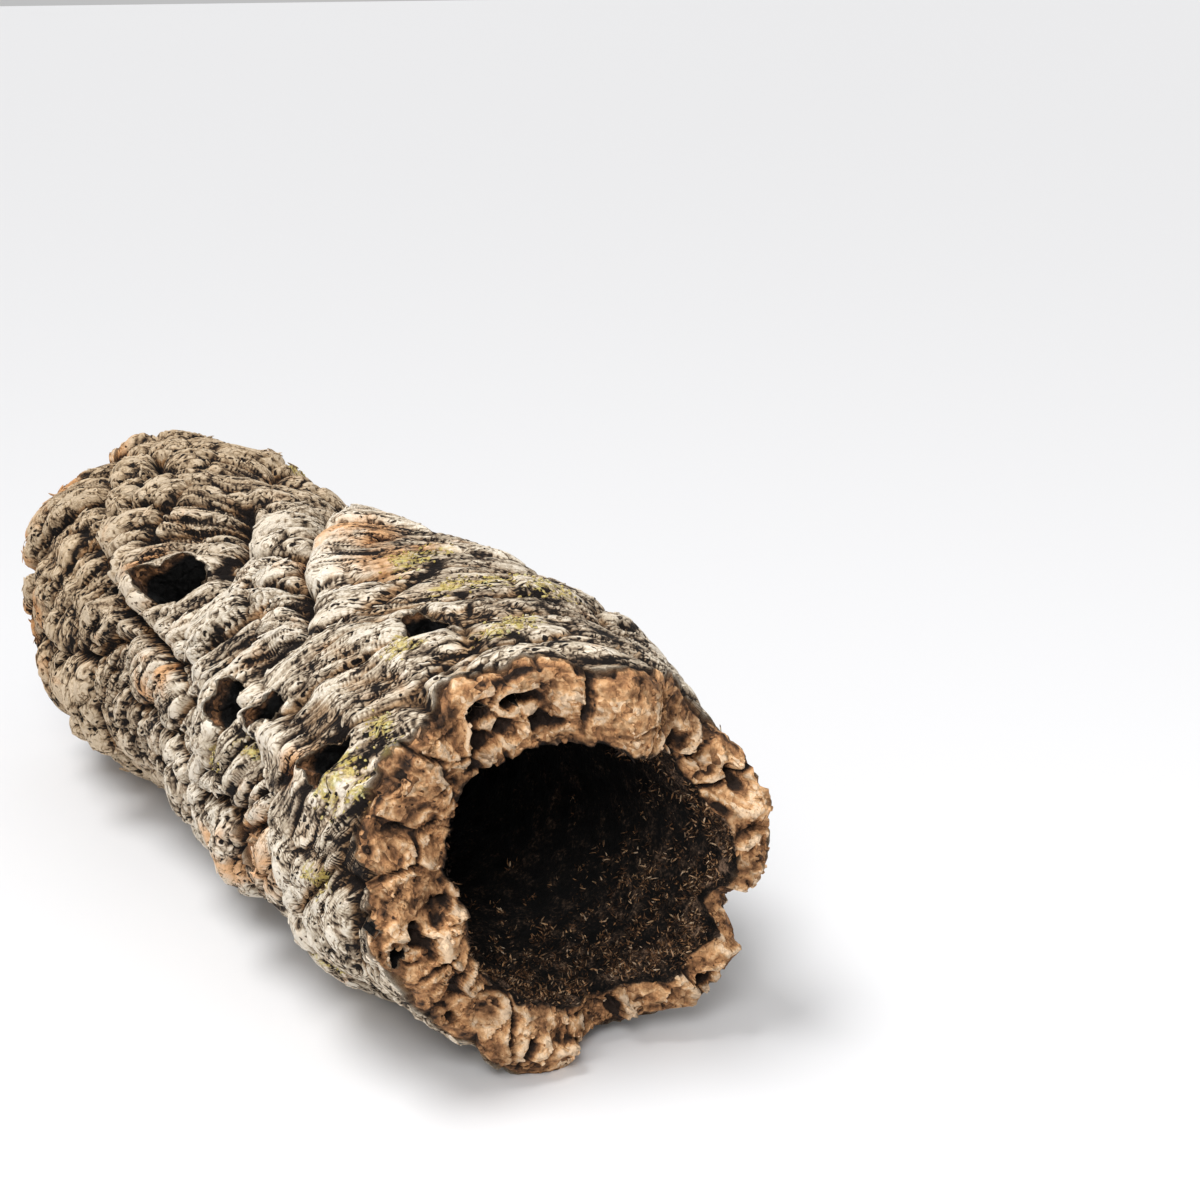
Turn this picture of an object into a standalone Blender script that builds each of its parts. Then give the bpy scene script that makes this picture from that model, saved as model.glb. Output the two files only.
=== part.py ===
"""A natural tube of virgin cork oak bark, lying on its side on a flat surface.

It is one piece, as it comes off the branch: thick bark with rolls, folds and knot holes, a
broken rim at each end, and an open bore. The tube's length runs along X with the wide broken
mouth towards +X, and Z is up. Angles round the tube start at +Y and turn towards +Z.
"""

import math

import bmesh
import bpy
import numpy as np
from mathutils import Matrix, Vector

MM = 0.001

# Driving dimensions
BARK_RADIUS = 66 * MM
BORE_RADIUS = 43 * MM
AXIS_HEIGHT = 66.5 * MM
AXIS_Y = -0.5 * MM
THINNEST_WALL = 7 * MM
LOWEST_REST = 0.0

# The bore's shift from the axis, reached at the mouth, and the waves in its lining as
# (length along X, how many go round, height, seed)
BORE_SHIFT_RUN = 340 * MM
BORE_SHIFT_Y = 5 * MM
BORE_SHIFT_Z = -4 * MM
BORE_WAVES = ((38 * MM, 8, 1.8 * MM, 41), (17 * MM, 16, 1.2 * MM, 42))

# The grid that the surfaces are drawn on
ROUND_STEPS = 64
BORE_ROUND_STEPS = 32
BARK_STEPS = 64
BORE_STEPS = 17
RIM_STEPS = 4
SHARP_ANGLE = math.radians(55)

# Rim of the mouth: angle in degrees, and how far along X the broken edge reaches there
MOUTH_EDGE = (
    (0, 178), (13, 174), (22, 161), (37, 157), (57, 165), (72, 173), (84, 172), (95, 161),
    (107, 154), (121, 148), (140, 146), (158, 145), (170, 147), (180, 152), (191, 160),
    (205, 160), (217, 157), (242, 163), (262, 164), (277, 157), (290, 165), (310, 175),
    (326, 175), (336, 166), (346, 175),
)
FAR_EDGE = -173.5 * MM
FAR_EDGE_RAGGED = 4.5 * MM
FAR_EDGE_AROUND = 9

# The bark's edge at both rims: rounding, and notches round it
EDGE_ROUNDING = 1.5 * MM
EDGE_ROUNDING_RUN = 4 * MM
NOTCH_DEPTH = 3 * MM
NOTCH_RUN = 14 * MM
NOTCH_LENGTH = 90 * MM
NOTCHES_AROUND = 19

# Girth along the tube: place on X and the bark's mean radius there
GIRTH = (
    (-178, 62), (-155, 65), (-110, 65), (-60, 61), (-22, 61), (8, 64), (40, 67),
    (90, 69), (125, 68), (150, 66), (178, 64),
)

# Folds, where one roll of bark laps over the next: corner points as (angle, x), how deep the
# crease is and how high the lip stands, in millimetres. The lip is on the +X side of a fold
# that is listed by rising angle.
FOLDS = (
    {"deep": 9, "lip": 5, "line": (
        (60, -45), (85, -5), (108, 28), (117, 47), (125, 70), (134, 71), (142, 63), (150, 65),
        (163, 88), (180, 100), (199, 99), (230, 90), (270, 70), (310, 40), (350, 0),
        (380, -30), (420, -45))},
    {"deep": 8, "lip": 4, "line": (
        (85, -75), (107, -28), (121, -5), (147, 8), (168, 31), (191, 41), (225, 34))},
    {"deep": 7, "lip": 4, "line": (
        (100, -160), (125, -114), (143, -86), (152, -45), (156, -8), (166, 8))},
    {"deep": 7, "lip": 4, "line": (
        (165, -128), (185, -112), (210, -104), (240, -112), (275, -96), (300, -70))},
    {"deep": 7, "lip": 4, "line": (
        (285, -20), (310, -38), (335, -84), (365, -112), (400, -120), (430, -138))},
    {"deep": 7, "lip": 4, "line": (
        (330, 118), (350, 96), (375, 84), (400, 92), (420, 70))},
)
CREASE_RUN = 8 * MM
LIP_RUN = 5 * MM
FOLD_REACH = 26 * MM
FOLD_FADE = 14

# Swellings and dents: angle, x, length along X, width round the tube, height
SWELLINGS = (
    (62, 48, 62, 62, 7),
    (45, 168, 20, 18, -6),
    (163, -26, 26, 22, 6),
    (137, -60, 20, 14, 4),
    (115, -105, 34, 30, 4),
    (190, -178, 28, 34, -14),
    (222, 112, 34, 22, -4),
    (215, -128, 22, 20, -3),
    (219, -40, 24, 24, -3),
    (219, 17, 20, 26, 5),
    (98, -52, 16, 20, -5),
    (336, 176, 12, 7, -8),
    (277, 172, 13, 7, -10),
    (15, 20, 30, 34, 5),
    (330, -60, 34, 34, 4),
    (25, -150, 26, 30, 4),
)

# The low lumps that the tube lies on: angle, x, radius that they reach
FEET = ((262, 150, 74), (284, 128, 73), (258, -132, 74), (284, -150, 73), (270, -60, 71))
FOOT_SIZE = 15 * MM

# Knot holes: angle, x, half length along X, half width round the tube, tilt, depth or through
KNOT_HOLES = (
    {"name": "knot_hole_large", "at": (135, -33), "size": (15, 10), "tilt": 15, "deep": 40},
    {"name": "knot_hole_slanted", "at": (151, 123), "size": (6.5, 10), "tilt": -12, "deep": 36},
    {"name": "knot_pit_upper", "at": (110, 114), "size": (9, 7), "tilt": 0, "deep": 13},
    {"name": "knot_pit_pair_left", "at": (154, 55), "size": (8, 8), "tilt": 0, "deep": 12},
    {"name": "knot_pit_pair_right", "at": (149, 85), "size": (5, 8), "tilt": -20, "deep": 11},
    {"name": "knot_slot_far", "at": (143, -75), "size": (5, 11), "tilt": 0, "deep": 12},
    {"name": "knot_hole_back", "at": (22, -92), "size": (10, 8), "tilt": 20, "deep": 40},
    {"name": "knot_pit_back", "at": (350, 52), "size": (8, 9), "tilt": 0, "deep": 12},
)
COLLAR_HEIGHT = 3.5 * MM
COLLAR_PLACE = 1.15
COLLAR_SPREAD = 0.5
HOLE_SIDES = 10
PIT_SIDES = 8
HOLE_TAPER = 0.7
HOLE_RAGGED = 0.16
ABOVE_BARK = 20 * MM
ABOVE_RIM = 16 * MM

# Pits that insects and decay left in the broken mouth: y and z from the axis, radius, depth
MOUTH_PITS = ((-30, 50, 5, 14), (-20, 55, 4, 10), (-62, -8, 3.5, 9), (-50, -24, 3, 9))

# Rolls and wrinkles of bark between the folds: length along X, how many go round, height,
# how wide their flanks are, the lowest one's share of the height, how far they are sunk
ROLLS = (
    {"length": 25, "around": 6, "height": 10, "flank": 0.7, "lowest": 0.45, "sunk": 0.5},
    {"length": 12, "around": 13, "height": 4, "flank": 0.6, "lowest": 0.3, "sunk": 0.4},
)
BARREL_CALM = 0.45
BARREL_RUN = 20 * MM

# The grain slants round the tube and wanders: waves as (length along X, how many go round,
# shift along X or turn in radians, seed)
GRAIN_SLANT = 40 * MM
GRAIN_SLANT_ANGLE = 130
GRAIN_SHIFTS = ((50 * MM, 5, 11 * MM, 11), (21 * MM, 13, 4 * MM, 13))
GRAIN_TURNS = ((34 * MM, 6, 0.2, 12), (13 * MM, 17, 0.07, 14))

# Chunks of broken cork in both rims
CHUNK_SIZE = 13 * MM
CHUNK_HEIGHT = 6 * MM
CHUNK_SUNK = 0.65
CHUNK_FLANK = 0.4

CIRCUMFERENCE = 2 * math.pi * BARK_RADIUS
CELL_SPREAD = 0.8


def lattice(column, row, seed):
    """A repeatable number from 0 to 1 for each cell of an endless grid."""
    mixed = (column * 73856093) ^ (row * 19349663) ^ (seed * 83492791)
    mixed = (mixed ^ (mixed >> 13)) * 1274126177
    return ((mixed ^ (mixed >> 16)) & 0xFFFFFF) / 0xFFFFFF


def waves(u, v, around, seed):
    """Smooth noise from -1 to 1 that repeats after `around` cells in v."""
    column, row = np.floor(u).astype(np.int64), np.floor(v).astype(np.int64)
    fu, fv = u - column, v - row
    fu, fv = fu * fu * (3 - 2 * fu), fv * fv * (3 - 2 * fv)
    low = lattice(column, row % around, seed) * (1 - fu)
    low = low + lattice(column + 1, row % around, seed) * fu
    high = lattice(column, (row + 1) % around, seed) * (1 - fu)
    high = high + lattice(column + 1, (row + 1) % around, seed) * fu
    return 2 * (low * (1 - fv) + high * fv) - 1


def summed_waves(table, x, angle):
    """Adds up the waves of a table at a place on the tube."""
    total = 0
    for length, around, height, seed in table:
        total = total + height * waves(x / length, angle * around / (2 * math.pi), around, seed)
    return total


def cells(u, v, around, seed):
    """How far inside its cell each point lies, 0 on a border, and that cell's own number."""
    column, row = np.floor(u).astype(np.int64), np.floor(v).astype(np.int64)
    first = np.full(np.shape(u), 9.0)
    second = first.copy()
    tone = np.zeros(np.shape(u))
    for across in (-1, 0, 1):
        for up in (-1, 0, 1):
            c, r = column + across, row + up
            wrapped = r % around
            du = u - c - 0.5 - CELL_SPREAD * (lattice(c, wrapped, seed) - 0.5)
            dv = v - r - 0.5 - CELL_SPREAD * (lattice(c, wrapped, seed + 1) - 0.5)
            far = np.hypot(du, dv)
            nearer = far < first
            second = np.where(nearer, first, np.minimum(second, far))
            tone = np.where(nearer, lattice(c, wrapped, seed + 2), tone)
            first = np.minimum(first, far)
    return second - first, tone


def cushion(inside, width):
    """A rounded pad: 0 on a cell's border, with a steep flank, and 1 at its middle."""
    t = np.clip(inside / width, 0, 1)
    return np.sqrt(t * (2 - t))


def smooth_step(t):
    t = np.clip(t, 0, 1)
    return t * t * (3 - 2 * t)


def between(stations, place, period=None):
    """Reads a list of (place, value) pairs along a smooth curve; a period closes it on itself."""
    places, values = np.array(stations, float).T
    if period:
        place = np.mod(place - places[0], period) + places[0]
        places = np.concatenate([places - period, places, places + period])
        values = np.concatenate([values] * 3)
    slopes = np.gradient(values, places)
    i = np.clip(np.searchsorted(places, place, side="right") - 1, 0, len(places) - 2)
    step = places[i + 1] - places[i]
    t = np.clip((place - places[i]) / step, 0, 1)
    start = values[i] * (1 + 2 * t) + slopes[i] * step * t
    end = values[i + 1] * (3 - 2 * t) - slopes[i + 1] * step * (1 - t)
    return start * (1 - t) ** 2 + end * t ** 2


def mouth_edge(angle):
    return between(MOUTH_EDGE, np.degrees(angle), 360) * MM


def far_edge(angle):
    turned = angle * FAR_EDGE_AROUND / (2 * math.pi)
    return FAR_EDGE + FAR_EDGE_RAGGED * waves(np.zeros_like(turned), turned, FAR_EDGE_AROUND, 5)


def round_gap(angle, degrees):
    """The shorter way round from a place in degrees to each angle, as a length of bark."""
    gap = (angle - math.radians(degrees) + math.pi) % (2 * math.pi) - math.pi
    return gap * BARK_RADIUS


def fold_relief(x, angle, fold):
    """A crease along a line, with the bark's edge lapping over it on the +X side."""
    low, high = fold["line"][0][0], fold["line"][-1][0]
    whole = high - low == 360
    degrees = np.mod(np.degrees(angle) - low, 360) + low
    stations = fold["line"][:-1] if whole else fold["line"]
    period = 360 if whole else None
    place = between(stations, degrees, period) * MM
    ahead = between(stations, degrees + 1, period) * MM
    slope = (ahead - place) / (math.radians(1) * BARK_RADIUS)
    gap = (x - place) / np.sqrt(1 + slope ** 2)
    fade = 1
    if not whole:
        from_end = np.minimum(degrees - low, high - degrees) / FOLD_FADE
        fade = smooth_step(from_end)
    away = np.abs(gap)
    crease = -fold["deep"] * MM * np.exp(-away / CREASE_RUN)
    lip = fold["lip"] * MM * (1 - np.exp(-away / LIP_RUN)) * np.exp(-(away / FOLD_REACH) ** 2)
    lip = lip - fold["deep"] * MM * np.exp(-away / LIP_RUN)
    return fade * np.where(gap > 0, lip, crease)


def grain(x, angle):
    """Where a point lies on the slanted, wavering grain of the bark."""
    slanted = x + GRAIN_SLANT * np.sin(angle - math.radians(GRAIN_SLANT_ANGLE))
    slanted = slanted + summed_waves(GRAIN_SHIFTS, x, angle)
    return slanted, angle + summed_waves(GRAIN_TURNS, x, angle)


def barrel(x, angle):
    """1 on the smooth barrel behind the mouth, 0 on the gnarled rest."""
    line = between(FOLDS[0]["line"][:-1], np.degrees(angle), 360) * MM
    return smooth_step((x - line) / BARREL_RUN)


def bark_radius(x, angle):
    """Distance of the bark's outside from the tube's axis."""
    radius = between(GIRTH, x / MM) * MM
    for degrees, place, length, width, height in SWELLINGS:
        along = (x - place * MM) / (length * MM)
        across = round_gap(angle, degrees) / (width * MM)
        radius = radius + height * MM * np.exp(-along ** 2 - across ** 2)
    along_grain, turned = grain(x, angle)
    rough = 1 - BARREL_CALM * barrel(x, angle)
    for seed, roll in enumerate(ROLLS):
        u = along_grain / (roll["length"] * MM)
        v = turned * roll["around"] / (2 * math.pi)
        inside, tone = cells(u, v, roll["around"], 21 + 10 * seed)
        share = roll["lowest"] + (1 - roll["lowest"]) * tone
        pad = cushion(inside, roll["flank"]) * share - roll["sunk"]
        radius = radius + rough * roll["height"] * MM * pad
    for fold in FOLDS:
        radius = radius + fold_relief(x, angle, fold)
    for hole in KNOT_HOLES:
        degrees, place = hole["at"]
        across = round_gap(angle, degrees) / (hole["size"][1] * MM)
        along = (x - place * MM) / (hole["size"][0] * MM)
        rim = np.hypot(across, along)
        radius = radius + COLLAR_HEIGHT * np.exp(-((rim - COLLAR_PLACE) / COLLAR_SPREAD) ** 2)
    for degrees, place, reach in FEET:
        near = np.hypot(x - place * MM, round_gap(angle, degrees)) / FOOT_SIZE
        radius = radius + (reach * MM - radius) * np.exp(-near ** 2)
    return radius


def bore_centre(x):
    """The bore lies a little off the axis at the mouth, where the wall is thicker on one side."""
    share = smooth_step((x - FAR_EDGE) / BORE_SHIFT_RUN)
    return BORE_SHIFT_Y * share, BORE_SHIFT_Z * share


def bore_radius(x, angle):
    """Distance of the lining from the bore's own centre."""
    return BORE_RADIUS + summed_waves(BORE_WAVES, x, angle)


def bark_points(share, angle):
    """Outside of the bark: share runs from 0 at the far end to 1 at the mouth."""
    x = far_edge(angle) * (1 - share) + mouth_edge(angle) * share
    radius = bark_radius(x, angle)
    centre_y, centre_z = bore_centre(x)
    thinnest = BORE_RADIUS + THINNEST_WALL + centre_y * np.cos(angle) + centre_z * np.sin(angle)
    radius = np.maximum(radius, thinnest)
    from_end = np.minimum(x - far_edge(angle), mouth_edge(angle) - x)
    turned = angle * NOTCHES_AROUND / (2 * math.pi)
    notch = NOTCH_DEPTH * waves(x / NOTCH_LENGTH, turned, NOTCHES_AROUND, 15)
    radius = radius + notch * (1 - smooth_step(from_end / NOTCH_RUN))
    radius = radius - EDGE_ROUNDING * (1 - smooth_step(from_end / EDGE_ROUNDING_RUN))
    return np.stack([x, radius * np.cos(angle), radius * np.sin(angle)], axis=-1)


def bore_points(share, angle):
    """Inside of the bore."""
    x = far_edge(angle) * (1 - share) + mouth_edge(angle) * share
    radius = bore_radius(x, angle)
    centre_y, centre_z = bore_centre(x)
    return np.stack(
        [x, centre_y + radius * np.cos(angle), centre_z + radius * np.sin(angle)], axis=-1)


def rim_points(share, bark_edge, bore_edge, outward, seed):
    """A ring of the broken end, between the bark's edge and the bore's: faceted chunks of cork."""
    points = bark_edge * (1 - share) + bore_edge * share
    angle = np.arctan2(points[:, 2], points[:, 1])
    radius = np.hypot(points[:, 1], points[:, 2])
    around = round(CIRCUMFERENCE / CHUNK_SIZE)
    inside, tone = cells(radius / CHUNK_SIZE, angle * around / (2 * math.pi), around, seed)
    height = CHUNK_HEIGHT * (tone + cushion(inside, CHUNK_FLANK) / 2 - CHUNK_SUNK)
    points[:, 0] += outward * height * math.sin(math.pi * share)
    return points


def ring_angles(steps):
    return np.arange(steps) * 2 * math.pi / steps


def tube_rings():
    """The rings of points that the tube's skin is drawn over, from the bark round to the bore."""
    angles, bore_angles = ring_angles(ROUND_STEPS), ring_angles(BORE_ROUND_STEPS)
    bark = [bark_points(i / BARK_STEPS, angles) for i in range(BARK_STEPS + 1)]
    bore = [bore_points(1 - i / BORE_STEPS, bore_angles) for i in range(BORE_STEPS + 1)]
    mouth_bore, far_bore = bore_points(1.0, angles), bore_points(0.0, angles)
    steps = [(i + 1) / (RIM_STEPS + 1) for i in range(RIM_STEPS)]
    mouth = [rim_points(step, bark[-1], mouth_bore, 1, 51) for step in steps]
    far = [rim_points(step, bark[0], far_bore, -1, 61) for step in reversed(steps)]
    return bark + mouth + bore + far


def join_rings(mesh, ring, next_ring):
    """Faces between two rings, which have as many points or one has twice as many."""
    count, next_count = len(ring), len(next_ring)
    if count == next_count:
        for i in range(count):
            j = (i + 1) % count
            mesh.faces.new((ring[i], ring[j], next_ring[j], next_ring[i]))
        return
    fine, coarse = (ring, next_ring) if count > next_count else (next_ring, ring)
    for i in range(len(coarse)):
        j = (i + 1) % len(coarse)
        a, b, c = fine[2 * i], fine[2 * i + 1], fine[(2 * i + 2) % len(fine)]
        faces = [(a, b, coarse[i]), (b, coarse[j], coarse[i]), (b, c, coarse[j])]
        for face in faces:
            mesh.faces.new(face if fine is ring else face[::-1])


def material(name, colour, roughness):
    made = bpy.data.materials.new(name)
    made.use_nodes = True
    shader = made.node_tree.nodes["Principled BSDF"]
    shader.inputs["Base Color"].default_value = (*colour, 1)
    shader.inputs["Roughness"].default_value = roughness
    shader.inputs["Metallic"].default_value = 0
    return made


def new_object(name, mesh):
    data = bpy.data.meshes.new(name)
    bmesh.ops.recalc_face_normals(mesh, faces=mesh.faces)
    mesh.to_mesh(data)
    mesh.free()
    made = bpy.data.objects.new(name, data)
    bpy.context.scene.collection.objects.link(made)
    return made


def bark_tube():
    """The tube's skin, set at its height and pressed flat where it touches the surface below."""
    mesh = bmesh.new()
    rings = []
    for points in tube_rings():
        points = points + np.array((0, AXIS_Y, AXIS_HEIGHT))
        points[:, 2] = np.maximum(points[:, 2], LOWEST_REST)
        rings.append([mesh.verts.new(point) for point in points.tolist()])
    for ring, next_ring in zip(rings, rings[1:] + rings[:1]):
        join_rings(mesh, ring, next_ring)
    tube = new_object("cork_bark_tube", mesh)
    tube.data.materials.append(material("cork_bark", (0.42, 0.36, 0.29), 0.9))
    tube.data.shade_smooth()
    tube.data.set_sharp_from_angle(angle=SHARP_ANGLE)
    return tube


def plug(name, place, turned, radii, depth, sides):
    """A tapering cutter, whose wide end is outside and whose local Z points out of the bark."""
    mesh = bmesh.new()
    bmesh.ops.create_cone(
        mesh, cap_ends=True, cap_tris=False, segments=sides, radius1=HOLE_TAPER, radius2=1,
        depth=1)
    for i, vert in enumerate(mesh.verts):
        ragged = 1 + HOLE_RAGGED * math.sin(2.3 * i + len(name))
        vert.co.x *= radii[0] * ragged
        vert.co.y *= radii[1] * ragged
        vert.co.z *= depth
    cutter = new_object(name, mesh)
    cutter.matrix_world = Matrix.Translation(place) @ turned.to_matrix().to_4x4()
    cutter.hide_render = True
    cutter.display_type = "WIRE"
    return cutter


def hole_cutter(hole):
    """A plug across the wall at a knot, turned to the bark's slope there."""
    degrees, place = hole["at"]
    angle = math.radians(degrees)
    outward = Vector((0, math.cos(angle), math.sin(angle)))
    depth = ABOVE_BARK + hole["deep"] * MM
    middle = BARK_RADIUS + ABOVE_BARK - depth / 2
    centre = Vector((place * MM, AXIS_Y, AXIS_HEIGHT)) + outward * middle
    basis = Matrix((Vector((1, 0, 0)), outward.cross(Vector((1, 0, 0))), outward)).transposed()
    tilt = Matrix.Rotation(math.radians(hole["tilt"]), 3, "Z")
    turned = (basis @ tilt).to_quaternion()
    radii = [size * MM for size in hole["size"]]
    return plug(hole["name"], centre, turned, radii, depth, HOLE_SIDES)


def mouth_pit_cutter(number, pit):
    """A plug into the broken face of the mouth, along X."""
    y, z, radius, deep = [value * MM for value in pit]
    angle = math.atan2(z, y)
    edge = float(mouth_edge(np.array([angle]))[0])
    depth = ABOVE_RIM + deep
    centre = Vector((edge + ABOVE_RIM - depth / 2, AXIS_Y + y, AXIS_HEIGHT + z))
    turned = Vector((1, 0, 0)).to_track_quat("Z", "Y")
    return plug(f"mouth_pit_{number}", centre, turned, (radius, radius), depth, PIT_SIDES)


def main():
    for old in list(bpy.data.objects):
        bpy.data.objects.remove(old)
    tube = bark_tube()
    cutters = bpy.data.collections.new("cutters")
    bpy.context.scene.collection.children.link(cutters)
    plugs = [hole_cutter(hole) for hole in KNOT_HOLES]
    plugs += [mouth_pit_cutter(i + 1, pit) for i, pit in enumerate(MOUTH_PITS)]
    for cutter in plugs:
        bpy.context.scene.collection.objects.unlink(cutter)
        cutters.objects.link(cutter)
    cut = tube.modifiers.new("knot_holes", "BOOLEAN")
    cut.operation = "DIFFERENCE"
    cut.operand_type = "COLLECTION"
    cut.collection = cutters


main()
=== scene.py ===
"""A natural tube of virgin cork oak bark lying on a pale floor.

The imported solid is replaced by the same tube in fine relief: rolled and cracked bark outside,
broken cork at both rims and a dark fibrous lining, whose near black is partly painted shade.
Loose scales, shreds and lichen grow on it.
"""

import math

import bpy
import numpy as np
from mathutils import Matrix, Vector


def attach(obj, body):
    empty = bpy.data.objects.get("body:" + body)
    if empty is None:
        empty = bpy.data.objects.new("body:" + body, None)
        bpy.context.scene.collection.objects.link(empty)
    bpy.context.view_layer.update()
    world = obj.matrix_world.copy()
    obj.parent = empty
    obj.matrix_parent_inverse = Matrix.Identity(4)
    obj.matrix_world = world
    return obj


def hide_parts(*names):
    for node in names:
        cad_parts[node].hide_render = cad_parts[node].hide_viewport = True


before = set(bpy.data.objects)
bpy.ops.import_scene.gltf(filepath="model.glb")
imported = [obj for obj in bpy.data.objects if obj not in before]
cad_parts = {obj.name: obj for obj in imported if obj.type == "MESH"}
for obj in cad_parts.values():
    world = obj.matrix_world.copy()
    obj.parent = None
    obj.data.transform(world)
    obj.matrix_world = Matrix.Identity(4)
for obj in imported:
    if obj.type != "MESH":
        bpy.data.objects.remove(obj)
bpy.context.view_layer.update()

MM = 0.001
NODE = "cork_bark_tube"
BODY = "root"

# Main sizes, the same as the solid's
BARK_RADIUS = 66 * MM
BORE_RADIUS = 43 * MM
AXIS_HEIGHT = 66.5 * MM
AXIS_Y = -0.5 * MM
THINNEST_WALL = 7 * MM
BORE_SHIFT_RUN = 340 * MM
BORE_SHIFT_Y = 5 * MM
BORE_SHIFT_Z = -4 * MM
BORE_WAVES = ((38, 8, 1.8 * MM, 41), (17, 16, 1.2 * MM, 42))

# The grid: the outside's rows in three pieces, which meet at two places on X, and its columns
COLUMNS = 480
FAR_ROWS, MIDDLE_ROWS, MOUTH_ROWS = 112, 92, 130
SEAMS = (-62 * MM, 35 * MM)
RIM_ROWS = 34
FAR_RIM_ROWS = 22
BORE_STEP = 3 * MM

# Rim of the mouth: angle in degrees, and how far along X the broken edge reaches there
MOUTH_EDGE = (
    (0, 178), (13, 174), (22, 161), (37, 157), (57, 165), (72, 173), (84, 172), (95, 161),
    (107, 154), (121, 148), (140, 146), (158, 145), (170, 147), (180, 152), (191, 160),
    (205, 160), (217, 157), (242, 163), (262, 164), (277, 157), (290, 165), (310, 175),
    (326, 175), (336, 166), (346, 175),
)
FAR_EDGE = -173.5 * MM
FAR_EDGE_RAGGED = 4.5 * MM
FAR_EDGE_AROUND = 9

# The bark's edge at both rims: rounding, and notches round it
EDGE_ROUNDING = 1.2 * MM
EDGE_ROUNDING_RUN = 2.5 * MM
NOTCH_DEPTH = 3 * MM
NOTCH_RUN = 14 * MM
NOTCH_LENGTH = 90
NOTCHES_AROUND = 19
EDGE_PULL = 5 * MM

# Girth along the tube, in millimetres: place on X and the bark's mean radius there
GIRTH = (
    (-178, 62), (-155, 65), (-110, 65), (-60, 61), (-22, 61), (8, 64), (40, 67),
    (90, 69), (125, 68), (150, 66), (178, 64),
)

# Folds, where one roll of bark laps over the next: corner points as (angle, x), how deep the
# crease is and how high the lip stands, in millimetres
FOLDS = (
    {"deep": 13, "lip": 5, "line": (
        (60, -45), (85, -5), (108, 28), (117, 47), (125, 70), (134, 71), (142, 63), (150, 65),
        (163, 88), (180, 100), (199, 99), (230, 90), (270, 70), (310, 40), (350, 0),
        (380, -30), (420, -45))},
    {"deep": 12, "lip": 4, "line": (
        (85, -75), (107, -28), (121, -5), (147, 8), (168, 31), (191, 41), (225, 34))},
    {"deep": 10.5, "lip": 4, "line": (
        (100, -160), (125, -114), (143, -86), (152, -45), (156, -8), (166, 8))},
    {"deep": 10.5, "lip": 4, "line": (
        (165, -128), (185, -112), (210, -104), (240, -112), (275, -96), (300, -70))},
    {"deep": 9, "lip": 4, "line": (
        (285, -20), (310, -38), (335, -84), (365, -112), (400, -120), (430, -138))},
    {"deep": 9, "lip": 4, "line": (
        (330, 118), (350, 96), (375, 84), (400, 92), (420, 70))},
)
CREASE_RUN = 6 * MM
LIP_RUN = 2.5 * MM
FOLD_REACH = 26 * MM
FOLD_FADE = 14
OVERHANG = 4 * MM
OVERHANG_RUN = 6 * MM

# Swellings and dents: angle, x, length along X, width round the tube, height
SWELLINGS = (
    (62, 48, 62, 62, 7),
    (45, 168, 20, 18, -6),
    (163, -26, 26, 22, 6),
    (137, -60, 20, 14, 4),
    (115, -105, 34, 30, 4),
    (190, -178, 28, 34, -14),
    (222, 112, 34, 22, -4),
    (215, -128, 22, 20, -3),
    (219, -40, 24, 24, -3),
    (219, 17, 20, 26, 5),
    (98, -52, 16, 20, -5),
    (336, 176, 12, 7, -8),
    (277, 172, 13, 7, -10),
    (15, 20, 30, 34, 5),
    (330, -60, 34, 34, 4),
    (25, -150, 26, 30, 4),
)

# The low lumps that the tube lies on: angle, x, radius that they reach
FEET = ((262, 150, 74), (284, 128, 73), (258, -132, 74), (284, -150, 73), (270, -60, 71))
FOOT_SIZE = 15 * MM

# Rolls and wrinkles of bark between the folds, as on the solid, with crevices between them: how
# wide, and the least share of their depth. All are calmer on the smooth barrel
ROLLS = (
    {"length": 25, "around": 6, "height": 10, "flank": 0.7, "lowest": 0.45, "sunk": 0.5,
     "crevice": 5.5},
    {"length": 12, "around": 13, "height": 4, "flank": 0.6, "lowest": 0.3, "sunk": 0.4,
     "crevice": 1.3},
)
CREVICE_WIDTH = 0.14
CREVICE_LOWEST = 0.15
BARREL_CALM = 0.45
BARREL_RUN = 20 * MM

# The grain's slant, and the waves that shift it along X and turn it round the tube: length in
# millimetres, how many go round, height, seed
GRAIN_SLANT = 40 * MM
GRAIN_SLANT_ANGLE = 130
GRAIN_SHIFTS = ((50, 5, 11 * MM, 11), (21, 13, 4 * MM, 13))
GRAIN_TURNS = ((34, 6, 0.2, 12), (13, 17, 0.07, 14))

# Knot holes and pits: angle, x, half length along X, half width round, tilt, depth
HOLES = (
    {"at": (135, -33), "size": (15, 10), "tilt": 15, "deep": 40},
    {"at": (151, 123), "size": (6.5, 10), "tilt": -12, "deep": 36},
    {"at": (110, 114), "size": (9, 7), "tilt": 0, "deep": 13},
    {"at": (154, 55), "size": (8, 8), "tilt": 0, "deep": 12},
    {"at": (149, 85), "size": (5, 8), "tilt": -20, "deep": 11},
    {"at": (143, -75), "size": (5, 11), "tilt": 0, "deep": 12},
    {"at": (22, -92), "size": (10, 8), "tilt": 20, "deep": 40},
    {"at": (350, 52), "size": (8, 9), "tilt": 0, "deep": 12},
)
COLLAR_HEIGHT = 2.2 * MM
COLLAR_PLACE = 1.15
COLLAR_SPREAD = 0.5

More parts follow.
